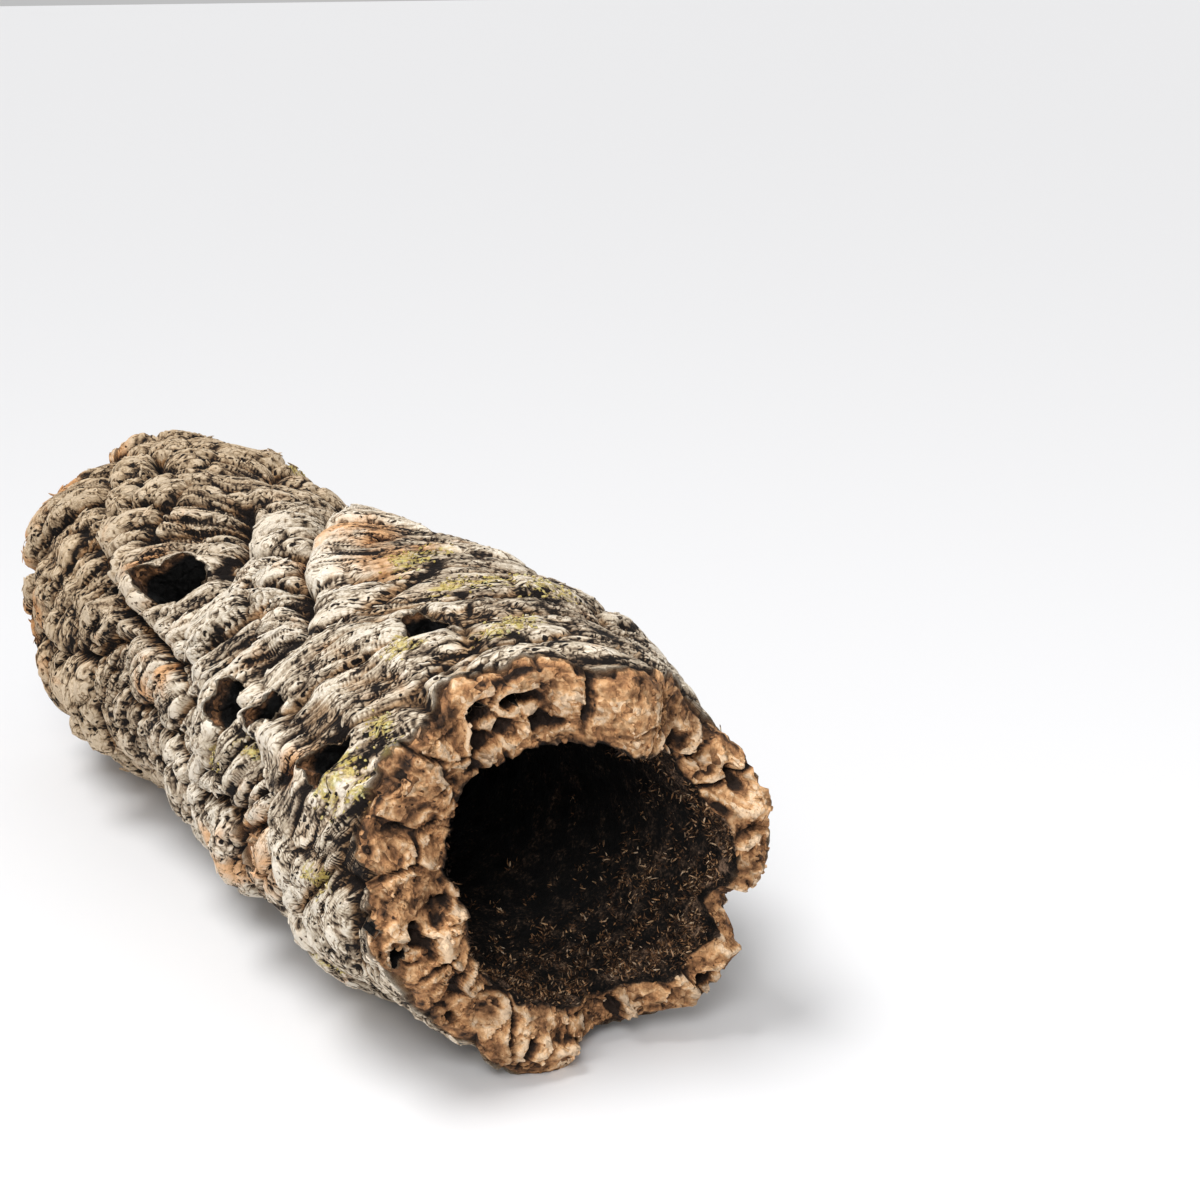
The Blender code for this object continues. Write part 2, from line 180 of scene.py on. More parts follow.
# Coloured patches on the bark: angle, x, half length along X, half width round it
LICHEN = (
    (92, 72, 8, 13), (95, 99, 6, 12), (118, 121, 9, 7), (137, 133, 8, 6), (141, 142, 6, 6),
    (150, 133, 8, 7), (161, 73, 7, 5), (170, 54, 8, 5), (156, 131, 8, 9), (180, 128, 7, 6),
    (73, 113, 7, 12), (84, 103, 6, 12), (95, 134, 8, 14), (155, 141, 5, 7), (30, 60, 12, 14),
    (10, -60, 10, 12), (50, -120, 12, 9), (215, 110, 8, 9), (300, 70, 10, 10),
)
STAINS = (
    (93, 28, 14, 16), (91, 42, 9, 10), (98, 64, 8, 10), (105, 18, 7, 8), (86, 62, 6, 9),
    (170, -20, 10, 10), (160, -7, 6, 6), (106, -171, 8, 22), (127, -160, 10, 10),
    (203, 58, 12, 9), (205, 35, 12, 9), (157, 110, 6, 6), (20, 10, 12, 12), (330, -40, 14, 12),
    (190, 75, 14, 13), (135, -55, 6, 10), (45, -172, 8, 30), (320, 160, 9, 14),
    (152, -168, 9, 20), (188, -166, 9, 20), (172, -140, 8, 8),
)
PALE = (
    (104, 79, 9, 8), (111, 77, 10, 7), (115, 114, 14, 9), (161, -16, 12, 9), (138, 108, 14, 9),
    (150, -90, 14, 12), (60, 80, 20, 16), (193, 122, 26, 17),
)
MASKS = ("broken", "crack_and_shade", "hollow_shade", "lining", "lichen", "stain", "pale_and_mouth_light")

# Pits in the broken mouth: y and z from the axis, radius, depth. All in millimetres
MOUTH_PITS = ((-25, 49, 3.6, 13), (-14, 53, 2.6, 11), (-60, -15, 3.2, 10), (-66, -6, 2.2, 8))

CELL_SPREAD = 0.8
CIRCUMFERENCE = 2 * math.pi * BARK_RADIUS


def lattice(column, row, seed):
    """A repeatable number from 0 to 1 for each cell of an endless grid."""
    mixed = (column * 73856093) ^ (row * 19349663) ^ (seed * 83492791)
    mixed = (mixed ^ (mixed >> 13)) * 1274126177
    return ((mixed ^ (mixed >> 16)) & 0xFFFFFF) / 0xFFFFFF


def smooth_step(t):
    """A smooth rise from 0 to 1 as t goes from 0 to 1, and level beyond."""
    t = np.clip(t, 0, 1)
    return t * t * (3 - 2 * t)


def blended(u, v, around, corner):
    """Blends what `corner` gives at the four corners of a point's cell, of `around` cells in v."""
    column, row = np.floor(u).astype(np.int64), np.floor(v).astype(np.int64)
    fu, fv = u - column, v - row
    su, sv = smooth_step(fu), smooth_step(fv)
    low, high = (
        corner(column, (row + r) % around, fu, fv - r) * (1 - su)
        + corner(column + 1, (row + r) % around, fu - 1, fv - r) * su for r in (0, 1))
    return low * (1 - sv) + high * sv


def waves(u, v, around, seed):
    """Smooth noise from -1 to 1 that repeats after `around` cells in v."""
    return 2 * blended(u, v, around, lambda column, row, *_: lattice(column, row, seed)) - 1


def swirl(u, v, around, seed):
    """Smooth gradient noise, about -1 to 1, that repeats after `around` cells in v."""
    def slope(column, row, du, dv):
        turn = 2 * math.pi * lattice(column, row, seed)
        return np.cos(turn) * du + np.sin(turn) * dv

    return 1.6 * blended(u, v, around, slope)


def circle(count):
    """The angles of this many columns round the tube."""
    return np.arange(count) * 2 * math.pi / count


def on_circle(x, radius, angle, centre_y=0, centre_z=0):
    """Points at a distance from the tube's axis, or from another centre."""
    return np.stack(
        [x, centre_y + radius * np.cos(angle), centre_z + radius * np.sin(angle)], axis=-1)


def cell_place(x, angle, length, around):
    """A place on the tube counted in cells of a length in millimetres and a number round it."""
    return x / (length * MM), angle * around / (2 * math.pi), around


def summed_waves(table, x, angle):
    """Adds up a table's waves: length in millimetres, how many go round, height, seed."""
    total = 0
    for length, around, height, seed in table:
        total = total + height * waves(*cell_place(x, angle, length, around), seed)
    return total


def swirled(x, angle, length, around, height, seed):
    """Gradient noise of some height, on cells of a length and a number round the tube."""
    return height * swirl(*cell_place(x, angle, length, around), seed)


def shards(u, v, around, seed):
    """Cells of random shape: how far inside its cell a point lies, the cell's own number, the
    distance from its middle, and the height there of a facet that leans its own way."""
    column, row = np.floor(u).astype(np.int64), np.floor(v).astype(np.int64)
    first = np.full(np.shape(u), 9.0)
    second = first.copy()
    tone, lean = np.zeros(np.shape(u)), np.zeros(np.shape(u))
    for across in (-1, 0, 1):
        for up in (-1, 0, 1):
            c, r = column + across, row + up
            wrapped = r % around
            du = u - c - 0.5 - CELL_SPREAD * (lattice(c, wrapped, seed) - 0.5)
            dv = v - r - 0.5 - CELL_SPREAD * (lattice(c, wrapped, seed + 1) - 0.5)
            far = np.hypot(du, dv)
            nearer = far < first
            second = np.where(nearer, first, np.minimum(second, far))
            number = lattice(c, wrapped, seed + 2)
            tone = np.where(nearer, number, tone)
            way = 2 * math.pi * ((number * 7.3) % 1)
            lean = np.where(nearer, np.cos(way) * du + np.sin(way) * dv, lean)
            first = np.minimum(first, far)
    return second - first, tone, first, lean


def cushion(inside, width):
    """A rounded pad: 0 on a cell's border, with a steep flank, and 1 at its middle."""
    t = np.clip(inside / width, 0, 1)
    return np.sqrt(t * (2 - t))


def between(stations, place, period=None):
    """Reads a list of (place, value) pairs along a smooth curve; a period closes it on itself."""
    places, values = np.array(stations, float).T
    if period:
        place = np.mod(place - places[0], period) + places[0]
        places = np.concatenate([places - period, places, places + period])
        values = np.concatenate([values] * 3)
    slopes = np.gradient(values, places)
    i = np.clip(np.searchsorted(places, place, side="right") - 1, 0, len(places) - 2)
    step = places[i + 1] - places[i]
    t = np.clip((place - places[i]) / step, 0, 1)
    start = values[i] * (1 + 2 * t) + slopes[i] * step * t
    end = values[i + 1] * (3 - 2 * t) - slopes[i + 1] * step * (1 - t)
    return start * (1 - t) ** 2 + end * t ** 2


def mouth_edge(angle):
    """How far along X the mouth's broken edge reaches."""
    return between(MOUTH_EDGE, np.degrees(angle), 360) * MM


def far_edge(angle):
    """How far along X the far end's broken edge reaches."""
    place = cell_place(np.zeros_like(angle), angle, 1, FAR_EDGE_AROUND)
    return FAR_EDGE + FAR_EDGE_RAGGED * waves(*place, 5)


def round_gap(angle, degrees):
    """The shorter way round from a place in degrees to each angle, as a length of bark."""
    gap = (angle - math.radians(degrees) + math.pi) % (2 * math.pi) - math.pi
    return gap * BARK_RADIUS


def offsets(x, angle, degrees, place, length, width):
    """How far a point lies from a place on the bark, along X and round, in half sizes."""
    return (x - place * MM) / (length * MM), round_gap(angle, degrees) / (width * MM)


def fold_gap(x, angle, fold):
    """How far each point lies past a fold's line, and how strong the fold is there."""
    low, high = fold["line"][0][0], fold["line"][-1][0]
    whole = high - low == 360
    degrees = np.mod(np.degrees(angle) - low, 360) + low
    stations = fold["line"][:-1] if whole else fold["line"]
    period = 360 if whole else None
    place = between(stations, degrees, period) * MM
    ahead = between(stations, degrees + 1, period) * MM
    slope = (ahead - place) / (math.radians(1) * BARK_RADIUS)
    gap = (x - place) / np.sqrt(1 + slope ** 2)
    if whole:
        return gap, np.ones_like(gap)
    return gap, smooth_step(np.minimum(degrees - low, high - degrees) / FOLD_FADE)


def fold_relief(x, angle, fold):
    """A crease along a line, with the bark's edge lapping over it on the +X side."""
    gap, fade = fold_gap(x, angle, fold)
    away = np.abs(gap)
    crease = -fold["deep"] * MM * np.exp(-away / CREASE_RUN)
    lip = fold["lip"] * MM * (1 - np.exp(-away / LIP_RUN)) * np.exp(-(away / FOLD_REACH) ** 2)
    lip = lip - fold["deep"] * MM * np.exp(-away / LIP_RUN)
    return fade * np.where(gap > 0, lip, crease)


def grain(x, angle):
    """Where a point lies on the slanted, wavering grain of the bark."""
    slanted = x + GRAIN_SLANT * np.sin(angle - math.radians(GRAIN_SLANT_ANGLE))
    slanted = slanted + summed_waves(GRAIN_SHIFTS, x, angle)
    return slanted, angle + summed_waves(GRAIN_TURNS, x, angle)


def barrel(x, angle):
    """1 on the smooth barrel behind the mouth, 0 on the gnarled rest."""
    line = between(FOLDS[0]["line"][:-1], np.degrees(angle), 360) * MM
    return smooth_step((x - line) / BARREL_RUN)


def hole_distance(x, angle, hole):
    """Distance from a hole's middle, as a multiple of the hole's size."""
    degrees, place = hole["at"]
    tilt = math.radians(hole["tilt"])
    along = (x - place * MM) / MM
    across = round_gap(angle, degrees) / MM
    u = along * math.cos(tilt) - across * math.sin(tilt)
    v = along * math.sin(tilt) + across * math.cos(tilt)
    return np.hypot(u / hole["size"][0], v / hole["size"][1])


def bark_radius(x, angle):
    """Distance of the bark's outside from the tube's axis, with the solid's main forms."""
    radius = between(GIRTH, x / MM) * MM
    for *place, height in SWELLINGS:
        along, across = offsets(x, angle, *place)
        radius = radius + height * MM * np.exp(-along ** 2 - across ** 2)
    along_grain, turned = grain(x, angle)
    rough = 1 - BARREL_CALM * barrel(x, angle)
    for seed, roll in enumerate(ROLLS):
        place = cell_place(along_grain, turned, roll["length"], roll["around"])
        inside, tone, _, _ = shards(*place, 21 + 10 * seed)
        share = roll["lowest"] + (1 - roll["lowest"]) * tone
        pad = cushion(inside, roll["flank"]) * share - roll["sunk"]
        uneven = smooth_step(0.4 + 1.2 * swirl(*place, 71 + seed))
        uneven = CREVICE_LOWEST + (1 - CREVICE_LOWEST) * uneven
        crevice = roll["crevice"] * uneven * (1 - smooth_step(inside / CREVICE_WIDTH))
        radius = radius + rough * (roll["height"] * pad - crevice) * MM
    for fold in FOLDS:
        radius = radius + fold_relief(x, angle, fold)
    for hole in HOLES:
        away = hole_distance(x, angle, hole)
        radius = radius + COLLAR_HEIGHT * np.exp(-((away - COLLAR_PLACE) / COLLAR_SPREAD) ** 2)
    for degrees, place, reach in FEET:
        near = np.hypot(x - place * MM, round_gap(angle, degrees)) / FOOT_SIZE
        radius = radius + (reach * MM - radius) * np.exp(-near ** 2)
    return radius


def bore_centre(x):
    """The bore lies a little off the axis at the mouth, where the wall is thicker on one side."""
    share = smooth_step((x - FAR_EDGE) / BORE_SHIFT_RUN)
    return BORE_SHIFT_Y * share, BORE_SHIFT_Z * share


# Fine relief of the bark, in grain coordinates and millimetres. Wrinkles: length across the
# grain and along it, height, how sharp the creases are, seed. Plates: length across and along,
# step between neighbours, depth of the cracks, share of them that are open, seed. Pores: length
# across and along, depth, share of the cells that have one, seed. CALM is what the barrel loses
WRINKLES = ((12, 46, 1.6, 0.6, 101), (5.2, 26, 0.4, 0.6, 103))
CALM = 0.45
PLATES = ((6, 28, 0.5, 1.3, 0.25, 131), (3.0, 14, 0.2, 0.5, 0.15, 134))
PORES = ((3.0, 6, 1.2, 0.15, 111), (6.5, 15, 2.8, 0.24, 113))

# Bends of the grain: length across and along it, shift along X, shift round, seed
BENDS = ((17, 30, 3.5 * MM, 0, 91), (7, 14, 1.2 * MM, 1.6 * MM, 92))


def grain_cells(along_grain, turned, across, along):
    """Grain coordinates counted in cells of two lengths, with how many go round."""
    return cell_place(along_grain, turned, across, max(3, round(CIRCUMFERENCE / (along * MM))))


def fine_relief(x, angle):
    """Ridges, cracks and pores of the bark: height, and how deep in a crack a point lies."""
    along_grain, turned = grain(x, angle)
    for across, along, shift, turn, seed in BENDS:
        place = grain_cells(along_grain, turned, across, along)
        along_grain = along_grain + shift * swirl(*place, seed)
        turned = turned + turn / BARK_RADIUS * swirl(*place, seed + 1)
    height = np.zeros_like(x)
    crack_and_shade = np.zeros_like(x)
    for across, along, size, sharp, seed in WRINKLES:
        place = grain_cells(along_grain, turned, across, along)
        ridge = np.minimum(2.2 * np.abs(swirl(*place, seed)), 1) ** sharp
        place = grain_cells(along_grain, turned, 2.5 * across, along)
        strong = 0.35 + 0.65 * smooth_step(0.6 + swirl(*place, seed + 50))
        height = height + strong * size * MM * (ridge - 0.6)
        crack_and_shade = np.maximum(crack_and_shade, strong * min(1, size / 2) * (1 - smooth_step(ridge / 0.3)))
    for across, along, step, deep, share, seed in PLATES:
        inside, tone, _, lean = shards(*grain_cells(along_grain, turned, across, along), seed)
        place = grain_cells(along_grain, turned, 2 * across, along)
        split = smooth_step((swirl(*place, seed + 50) + share) / 0.35)
        gap = split * (1 - smooth_step(inside / 0.2))
        height = height + step * MM * (tone - 0.5 + 0.8 * lean) - deep * MM * gap
        crack_and_shade = np.maximum(crack_and_shade, gap)
    height = height * (1 - CALM * barrel(x, angle))
    for across, along, size, share, seed in PORES:
        _, tone, middle, _ = shards(*grain_cells(along_grain, turned, across, along), seed)
        reach = 0.16 + 0.2 * ((tone * 5.1) % 1)
        pit = (tone < share) * (1 - smooth_step(middle / reach))
        height = height - size * MM * pit
        crack_and_shade = np.maximum(crack_and_shade, pit)
    return height, crack_and_shade, along_grain, turned


# Broken cork: size of the facets, step between neighbours, slope, how far a facet is scooped or
# domed, depth of the cracks, the share of the borders that have one, added to the seed
FACETS = ((22, 5.5, 7.0, 1.6, 3.0, 0.4, 0), (10, 1.6, 2.6, 0.3, 1.2, 0.2, 20),
          (4.5, 0.5, 1.2, 0.1, 0.5, 0.1, 40))


def shattered(x, angle, radius, seed):
    """Relief of broken cork: scooped and domed facets in three sizes, with ridges and cracks."""
    height = np.zeros_like(radius)
    crack_and_shade = np.zeros_like(radius)
    place = radius + x
    place = place + swirled(place, angle, 11, 36, 3 * MM, seed + 5)
    turned = angle + swirled(place, angle, 9, 40, 0.04, seed + 6)
    for size, step, slope, bulge, deep, share, number in FACETS:
        u, v, around = cell_place(place, turned, size, round(CIRCUMFERENCE / (size * MM)))
        inside, tone, _, lean = shards(u, v, around, seed + number)
        split = smooth_step((swirl(u / 2, v, around, seed + number + 9) + share - 0.3) / 0.3)
        gap = split * (1 - smooth_step(inside / 0.1))
        way = np.where((tone * 3.7) % 1 < 0.6, -1.0, 0.7)
        facet = smooth_step(inside / 0.12) * (step * (tone - 0.5) + slope * lean)
        height = height + MM * (facet + way * bulge * smooth_step(inside / 0.6) - deep * gap)
        crack_and_shade = np.maximum(crack_and_shade, gap * min(1, 0.4 + size / 20))
    height = height + swirled(place, angle, 2, 200, 0.1 * MM, seed + 60)
    return height + swirled(place, angle, 3.2, 60, 0.2 * MM, seed + 61), crack_and_shade


# Hollows in the broken mouth: angle, distance from the axis, half width round, half height,
# depth; and the noise that makes their borders ragged
CAVITIES = (
    (117, 54, 4.5, 4, 9), (108, 54, 2.2, 2.5, 7), (103, 55, 3.5, 2.5, 8), (121, 46, 3.5, 4, 8),
    (129, 42, 2.5, 3, 6), (100, 46, 3.5, 3, 7), (112, 47, 2.5, 3, 6), (192, 54, 3.5, 3, 8),
    (40, 48, 4, 3, 6), (16, 57, 4, 2.5, 6), (10, 48, 3, 3, 5), (250, 60, 1.6, 6, 6),
    (28, 52, 2, 3, 5), (205, 50, 1, 5, 4), (225, 60, 2.5, 2, 4),
    (285, 56, 2, 4, 5), (310, 60, 3, 3, 6), (336, 58, 2, 5, 5),
    (89, 55, 0.9, 9, 6), (66, 52, 1.0, 7, 5),
)
CAVITIES_RAGGED = (4, 90, 0.35, 311)

# The flat, layered block at the top of the mouth: angle, half width round it, and its layers
BLOCK_ANGLE, BLOCK_WIDTH = 80, 22 * MM
BLOCK_LAYER = 0.9 * MM
BLOCK_WAVER = (6, 30, 2, 312)


def mouth_features(angle, radius):
    """The mouth's own hollows and its flat block: the hollows' depth, and 1 on the block."""
    ragged = swirled(radius, angle, *CAVITIES_RAGGED)
    depth = np.zeros_like(radius)
    for degrees, away, width, height, deep in CAVITIES:
        across = round_gap(angle, degrees) * radius / BARK_RADIUS / (width * MM)
        up = (radius - away * MM) / (height * MM)
        near = np.hypot(across, up) * (1 + ragged)
        depth = np.maximum(depth, deep * MM * np.exp(-near ** 4))
    away = round_gap(angle, BLOCK_ANGLE) / BLOCK_WIDTH
    block = 1 - smooth_step((np.abs(away) - 0.7) / 0.3)
    return depth, block


# How far from the mouth the lining is painted paler, as painted light falling in at the mouth
LIGHT_REACH = 26 * MM

# Clots of the lining: length, how many go round, height, seed. The ridges stand alone, the worn
# ones and the ragged edge fade from the mouth inward. The ragged rows begin with a shift along X
CLOT_RIDGES = (12, 24, 1.3 * MM, 141)
CLOT_LUMPS = (5, 60, 0.8 * MM, 142)
CLOTS_WORN, WORN_REACH = (4, 75, 0.9 * MM, 145), 40 * MM
RAGGED_EDGE, RAGGED_REACH = ((7, 14, 28, 2.4 * MM, 143), (4, 8, 60, 1.2 * MM, 144)), 9 * MM

# The lump under the block: angle, x, half length along X, half width round
BORE_LUMP = (72, 168, 13, 17)
BORE_LUMP_HEIGHT = 5 * MM


def bore_radius(x, angle):
    """Distance of the lining from the bore's own centre, with its rough, clotted surface."""
    radius = BORE_RADIUS + summed_waves(BORE_WAVES, x, angle)
    radius = radius + np.abs(swirled(x, angle, *CLOT_RIDGES)) + swirled(x, angle, *CLOT_LUMPS)
    inward = np.maximum(mouth_edge(angle) - x, 0)
    radius = radius + np.exp(-inward / WORN_REACH) * np.abs(swirled(x, angle, *CLOTS_WORN))
    for shift, *row in RAGGED_EDGE:
        radius = radius + np.exp(-inward / RAGGED_REACH) * swirled(x + shift * MM, angle, *row)
    along, across = offsets(x, angle, *BORE_LUMP)
    return radius - BORE_LUMP_HEIGHT * np.exp(-along ** 2 - across ** 2)


def patches(table, x, angle):
    """1 inside the patches of a table and 0 outside them, with soft edges."""
    covered = np.zeros_like(x)
    for place in table:
        along, across = offsets(x, angle, *place)
        covered = np.maximum(covered, np.exp(-(along ** 2 + across ** 2)))
    return covered


def blurred(field, reach):
    """A field on the tube's grid, averaged over this many cells each way."""
    total = sum(np.roll(field, k, axis=1) for k in range(-reach, reach + 1))
    field = total / (2 * reach + 1)
    padded = np.pad(field, ((reach, reach), (0, 0)), mode="edge")
    total = sum(padded[k:k + len(field)] for k in range(2 * reach + 1))
    return total / (2 * reach + 1)


# Broken cork on the outside, beside the rims: its reach, and its ragged border's waves. The
# scar is a place where the bark has come off: angle, x, half length along X, half width round
RIM_REACH, RIM_BORDER = 4 * MM, 1.2 * MM
RIM_RAGGED = ((16, 26, 4.5 * MM, 151), (5, 80, 1.6 * MM, 152))
SCAR, SCAR_RAGGED = (190, 71, 9, 11), (6, 60, 0.35, 153)
BARE_RELIEF, BARE_SUNK = 0.35, 0.8 * MM

# The lips of the folds overhang from this far past the crease, and this far from both rims
OVERHANG_START, OVERHANG_CLEAR = 3 * MM, 12 * MM

# Painted shade: hollows are painted darker and ridges paler. Cells that the surface is averaged
# over, full depth in millimetres, weight
HOLLOW_SHADES = ((2, 0.7, 0.25), (7, 1.8, 0.4), (20, 5, 0.75))
HOLLOW_LIMITS = (-1.5, 1.5)


def with_zeros(masks, like):
    """The masks that are given, and 0 for all the others."""
    return {**{name: np.zeros_like(like) for name in MASKS}, **masks}


def outside():
    """The bark's outside on the grid, from the far rim to the mouth: points, masks, and how far
    each point lies from both rims."""
    angle = np.broadcast_to(
        circle(COLUMNS), (FAR_ROWS + MIDDLE_ROWS + MOUTH_ROWS + 1, COLUMNS))
    first, last = far_edge(angle[0]), mouth_edge(angle[0])
    stations = (first, *(np.full(COLUMNS, seam) for seam in SEAMS), last)
    rows = []
    for start, end, count in zip(stations, stations[1:], (FAR_ROWS, MIDDLE_ROWS, MOUTH_ROWS)):
        rows += [start + (end - start) * i / count for i in range(count)]
    x = np.array(rows + [last])
    radius = bark_radius(x, angle)
    centre_y, centre_z = bore_centre(x)
    thinnest = BORE_RADIUS + THINNEST_WALL + centre_y * np.cos(angle) + centre_z * np.sin(angle)
    radius = np.maximum(radius, thinnest)
    from_mouth, from_far = last - x, x - first
    from_end = np.minimum(from_far, from_mouth)
    notch = NOTCH_DEPTH * waves(*cell_place(x, angle, NOTCH_LENGTH, NOTCHES_AROUND), 15)
    radius = radius + notch * (1 - smooth_step(from_end / NOTCH_RUN))
    height, crack_and_shade, along_grain, turned = fine_relief(x, angle)
    broken, split = shattered(x, angle, radius, 201)
    ragged = RIM_REACH + sum(swirled(x, angle, *row) for row in RIM_RAGGED)
    edge = smooth_step((ragged - from_end) / RIM_BORDER + 0.5)
    scar = 1 - np.hypot(*offsets(x, angle, *SCAR)) + swirled(x, angle, *SCAR_RAGGED)
    bare = np.maximum(edge, smooth_step(scar / 0.25))
    radius = radius + height * (1 - bare) + (BARE_RELIEF * broken - BARE_SUNK) * bare
    radius = radius - EDGE_ROUNDING * (1 - smooth_step(from_end / EDGE_ROUNDING_RUN))
    shift = np.zeros_like(x)
    for fold in FOLDS:
        gap, fade = fold_gap(x, angle, fold)
        lip = smooth_step(gap / OVERHANG_START) * np.exp(-(gap / OVERHANG_RUN) ** 2)
        shift = shift - fade * OVERHANG * np.where(gap > 0, lip, 0)
    shift = shift * smooth_step(from_end / OVERHANG_CLEAR)
    # Painted shade: how far each point lies below the surface averaged round it darkens it
    hollow_shade = sum(weight * (blurred(radius, reach) - radius) / (depth * MM)
                 for reach, depth, weight in HOLLOW_SHADES)
    points = on_circle(x + shift, radius, angle)
    masks = with_zeros({
        "broken": bare,
        "crack_and_shade": np.where(bare > 0.5, split, crack_and_shade),
        "hollow_shade": np.clip(hollow_shade, *HOLLOW_LIMITS),
        "grain_x": along_grain,
        "grain_y": turned,
        "lichen": patches(LICHEN, x, angle),
        "stain": patches(STAINS, x, angle),
        "pale_and_mouth_light": patches(PALE, x, angle),
    }, x)
    return points, masks, from_far, from_mouth


# Relief of the broken rims: the far one's share of it, its lowest point beside both edges, how
# far the rim bulges out, how wide the dark border beside the bore is
FAR_RELIEF = 0.6
LOWEST_AT_EDGE = -2 * MM
RIM_BULGE = 2.5 * MM
INNER_START, INNER_WIDTH = 0.92, 0.09


def rim(bark_edge, bore_edge, outward, rows, seed):
    """The rows of broken cork from the bark's edge to the bore's, both included."""
    share = np.broadcast_to(np.arange(rows + 1)[:, None] / rows, (rows + 1, len(bark_edge)))
    points = bark_edge * (1 - share[..., None]) + bore_edge * share[..., None]
    angle = np.arctan2(points[..., 2], points[..., 1])
    radius = np.hypot(points[..., 1], points[..., 2])
    height, crack_and_shade = shattered(np.zeros_like(radius), angle, radius, seed)
    if outward > 0:
        depth, block = mouth_features(angle, radius)
        waver = swirled(radius, angle, *BLOCK_WAVER)
        layers = np.abs(np.sin(radius / BLOCK_LAYER + waver))
        height = height * (1 - 0.65 * block) + block * (1.5 + 0.5 * layers) * MM - depth
        # The mouth's hollows are darkened with their depth: painted shade
        crack_and_shade = np.maximum(crack_and_shade * (1 - 0.5 * block), smooth_step(depth / (6 * MM)))
    bulge = np.sin(math.pi * share)
    height = (0.6 + 0.4 * bulge) * (1 if outward > 0 else FAR_RELIEF) * height
    at_edge = 1 - smooth_step(np.minimum(share, 1 - share) / 0.15)
    height = height + at_edge * (np.maximum(height, LOWEST_AT_EDGE) - height)
    points[..., 0] += outward * (height + RIM_BULGE * bulge)
    smooth = blurred(points[..., 0], 5)
    # Painted shade in the rim's hollows
    hollow_shade = outward * (smooth - points[..., 0]) / (1.3 * MM)
    wander = 0.06 * swirl(*cell_place(share, angle, 0.25 / MM, 40), seed + 70)
    inner = smooth_step((share - INNER_START + wander) / INNER_WIDTH)
    return points, with_zeros({
        "broken": np.ones_like(radius),
        "crack_and_shade": crack_and_shade,
        "hollow_shade": np.clip(hollow_shade, *HOLLOW_LIMITS),
        "lining": 0.75 * inner,
        "grain_x": points[..., 0],
        "grain_y": angle,
        "pale_and_mouth_light": inner,
    }, radius)


def bore(x):
    """Rows of the lining at these places on X, which may differ round the tube."""
    angle = np.broadcast_to(circle(x.shape[1]), x.shape)
    radius = bore_radius(x, angle)
    points = on_circle(x, radius, angle, *bore_centre(x))
    inward = np.maximum(mouth_edge(angle) - x, 0)
    # Painted shade in the lining's hollows, and painted light near the mouth
    return points, with_zeros({
        "hollow_shade": np.clip((radius - blurred(radius, 3)) / (1 * MM), *HOLLOW_LIMITS),
        "lining": np.ones_like(x),
        "pale_and_mouth_light": np.exp(-inward / LIGHT_REACH),
        "grain_x": x,
        "grain_y": angle,
    }, x)


def rows_of(block, which):
    """Some rows of a (points, masks) block."""
    points, masks = block
    return points[which], {name: values[which] for name, values in masks.items()}


def write_masks(mesh, masks, flow):
    """Stores what the material reads: the masks, and each point's place on the grain."""
    for key in MASKS:
        values = np.broadcast_to(masks.get(key, 0.0), len(mesh.vertices)).astype(np.float32)
        mesh.attributes.new(key, "FLOAT", "POINT").data.foreach_set("value", values)
    values = flow.astype(np.float32).ravel()
    mesh.attributes.new("flow", "FLOAT_VECTOR", "POINT").data.foreach_set("vector", values)


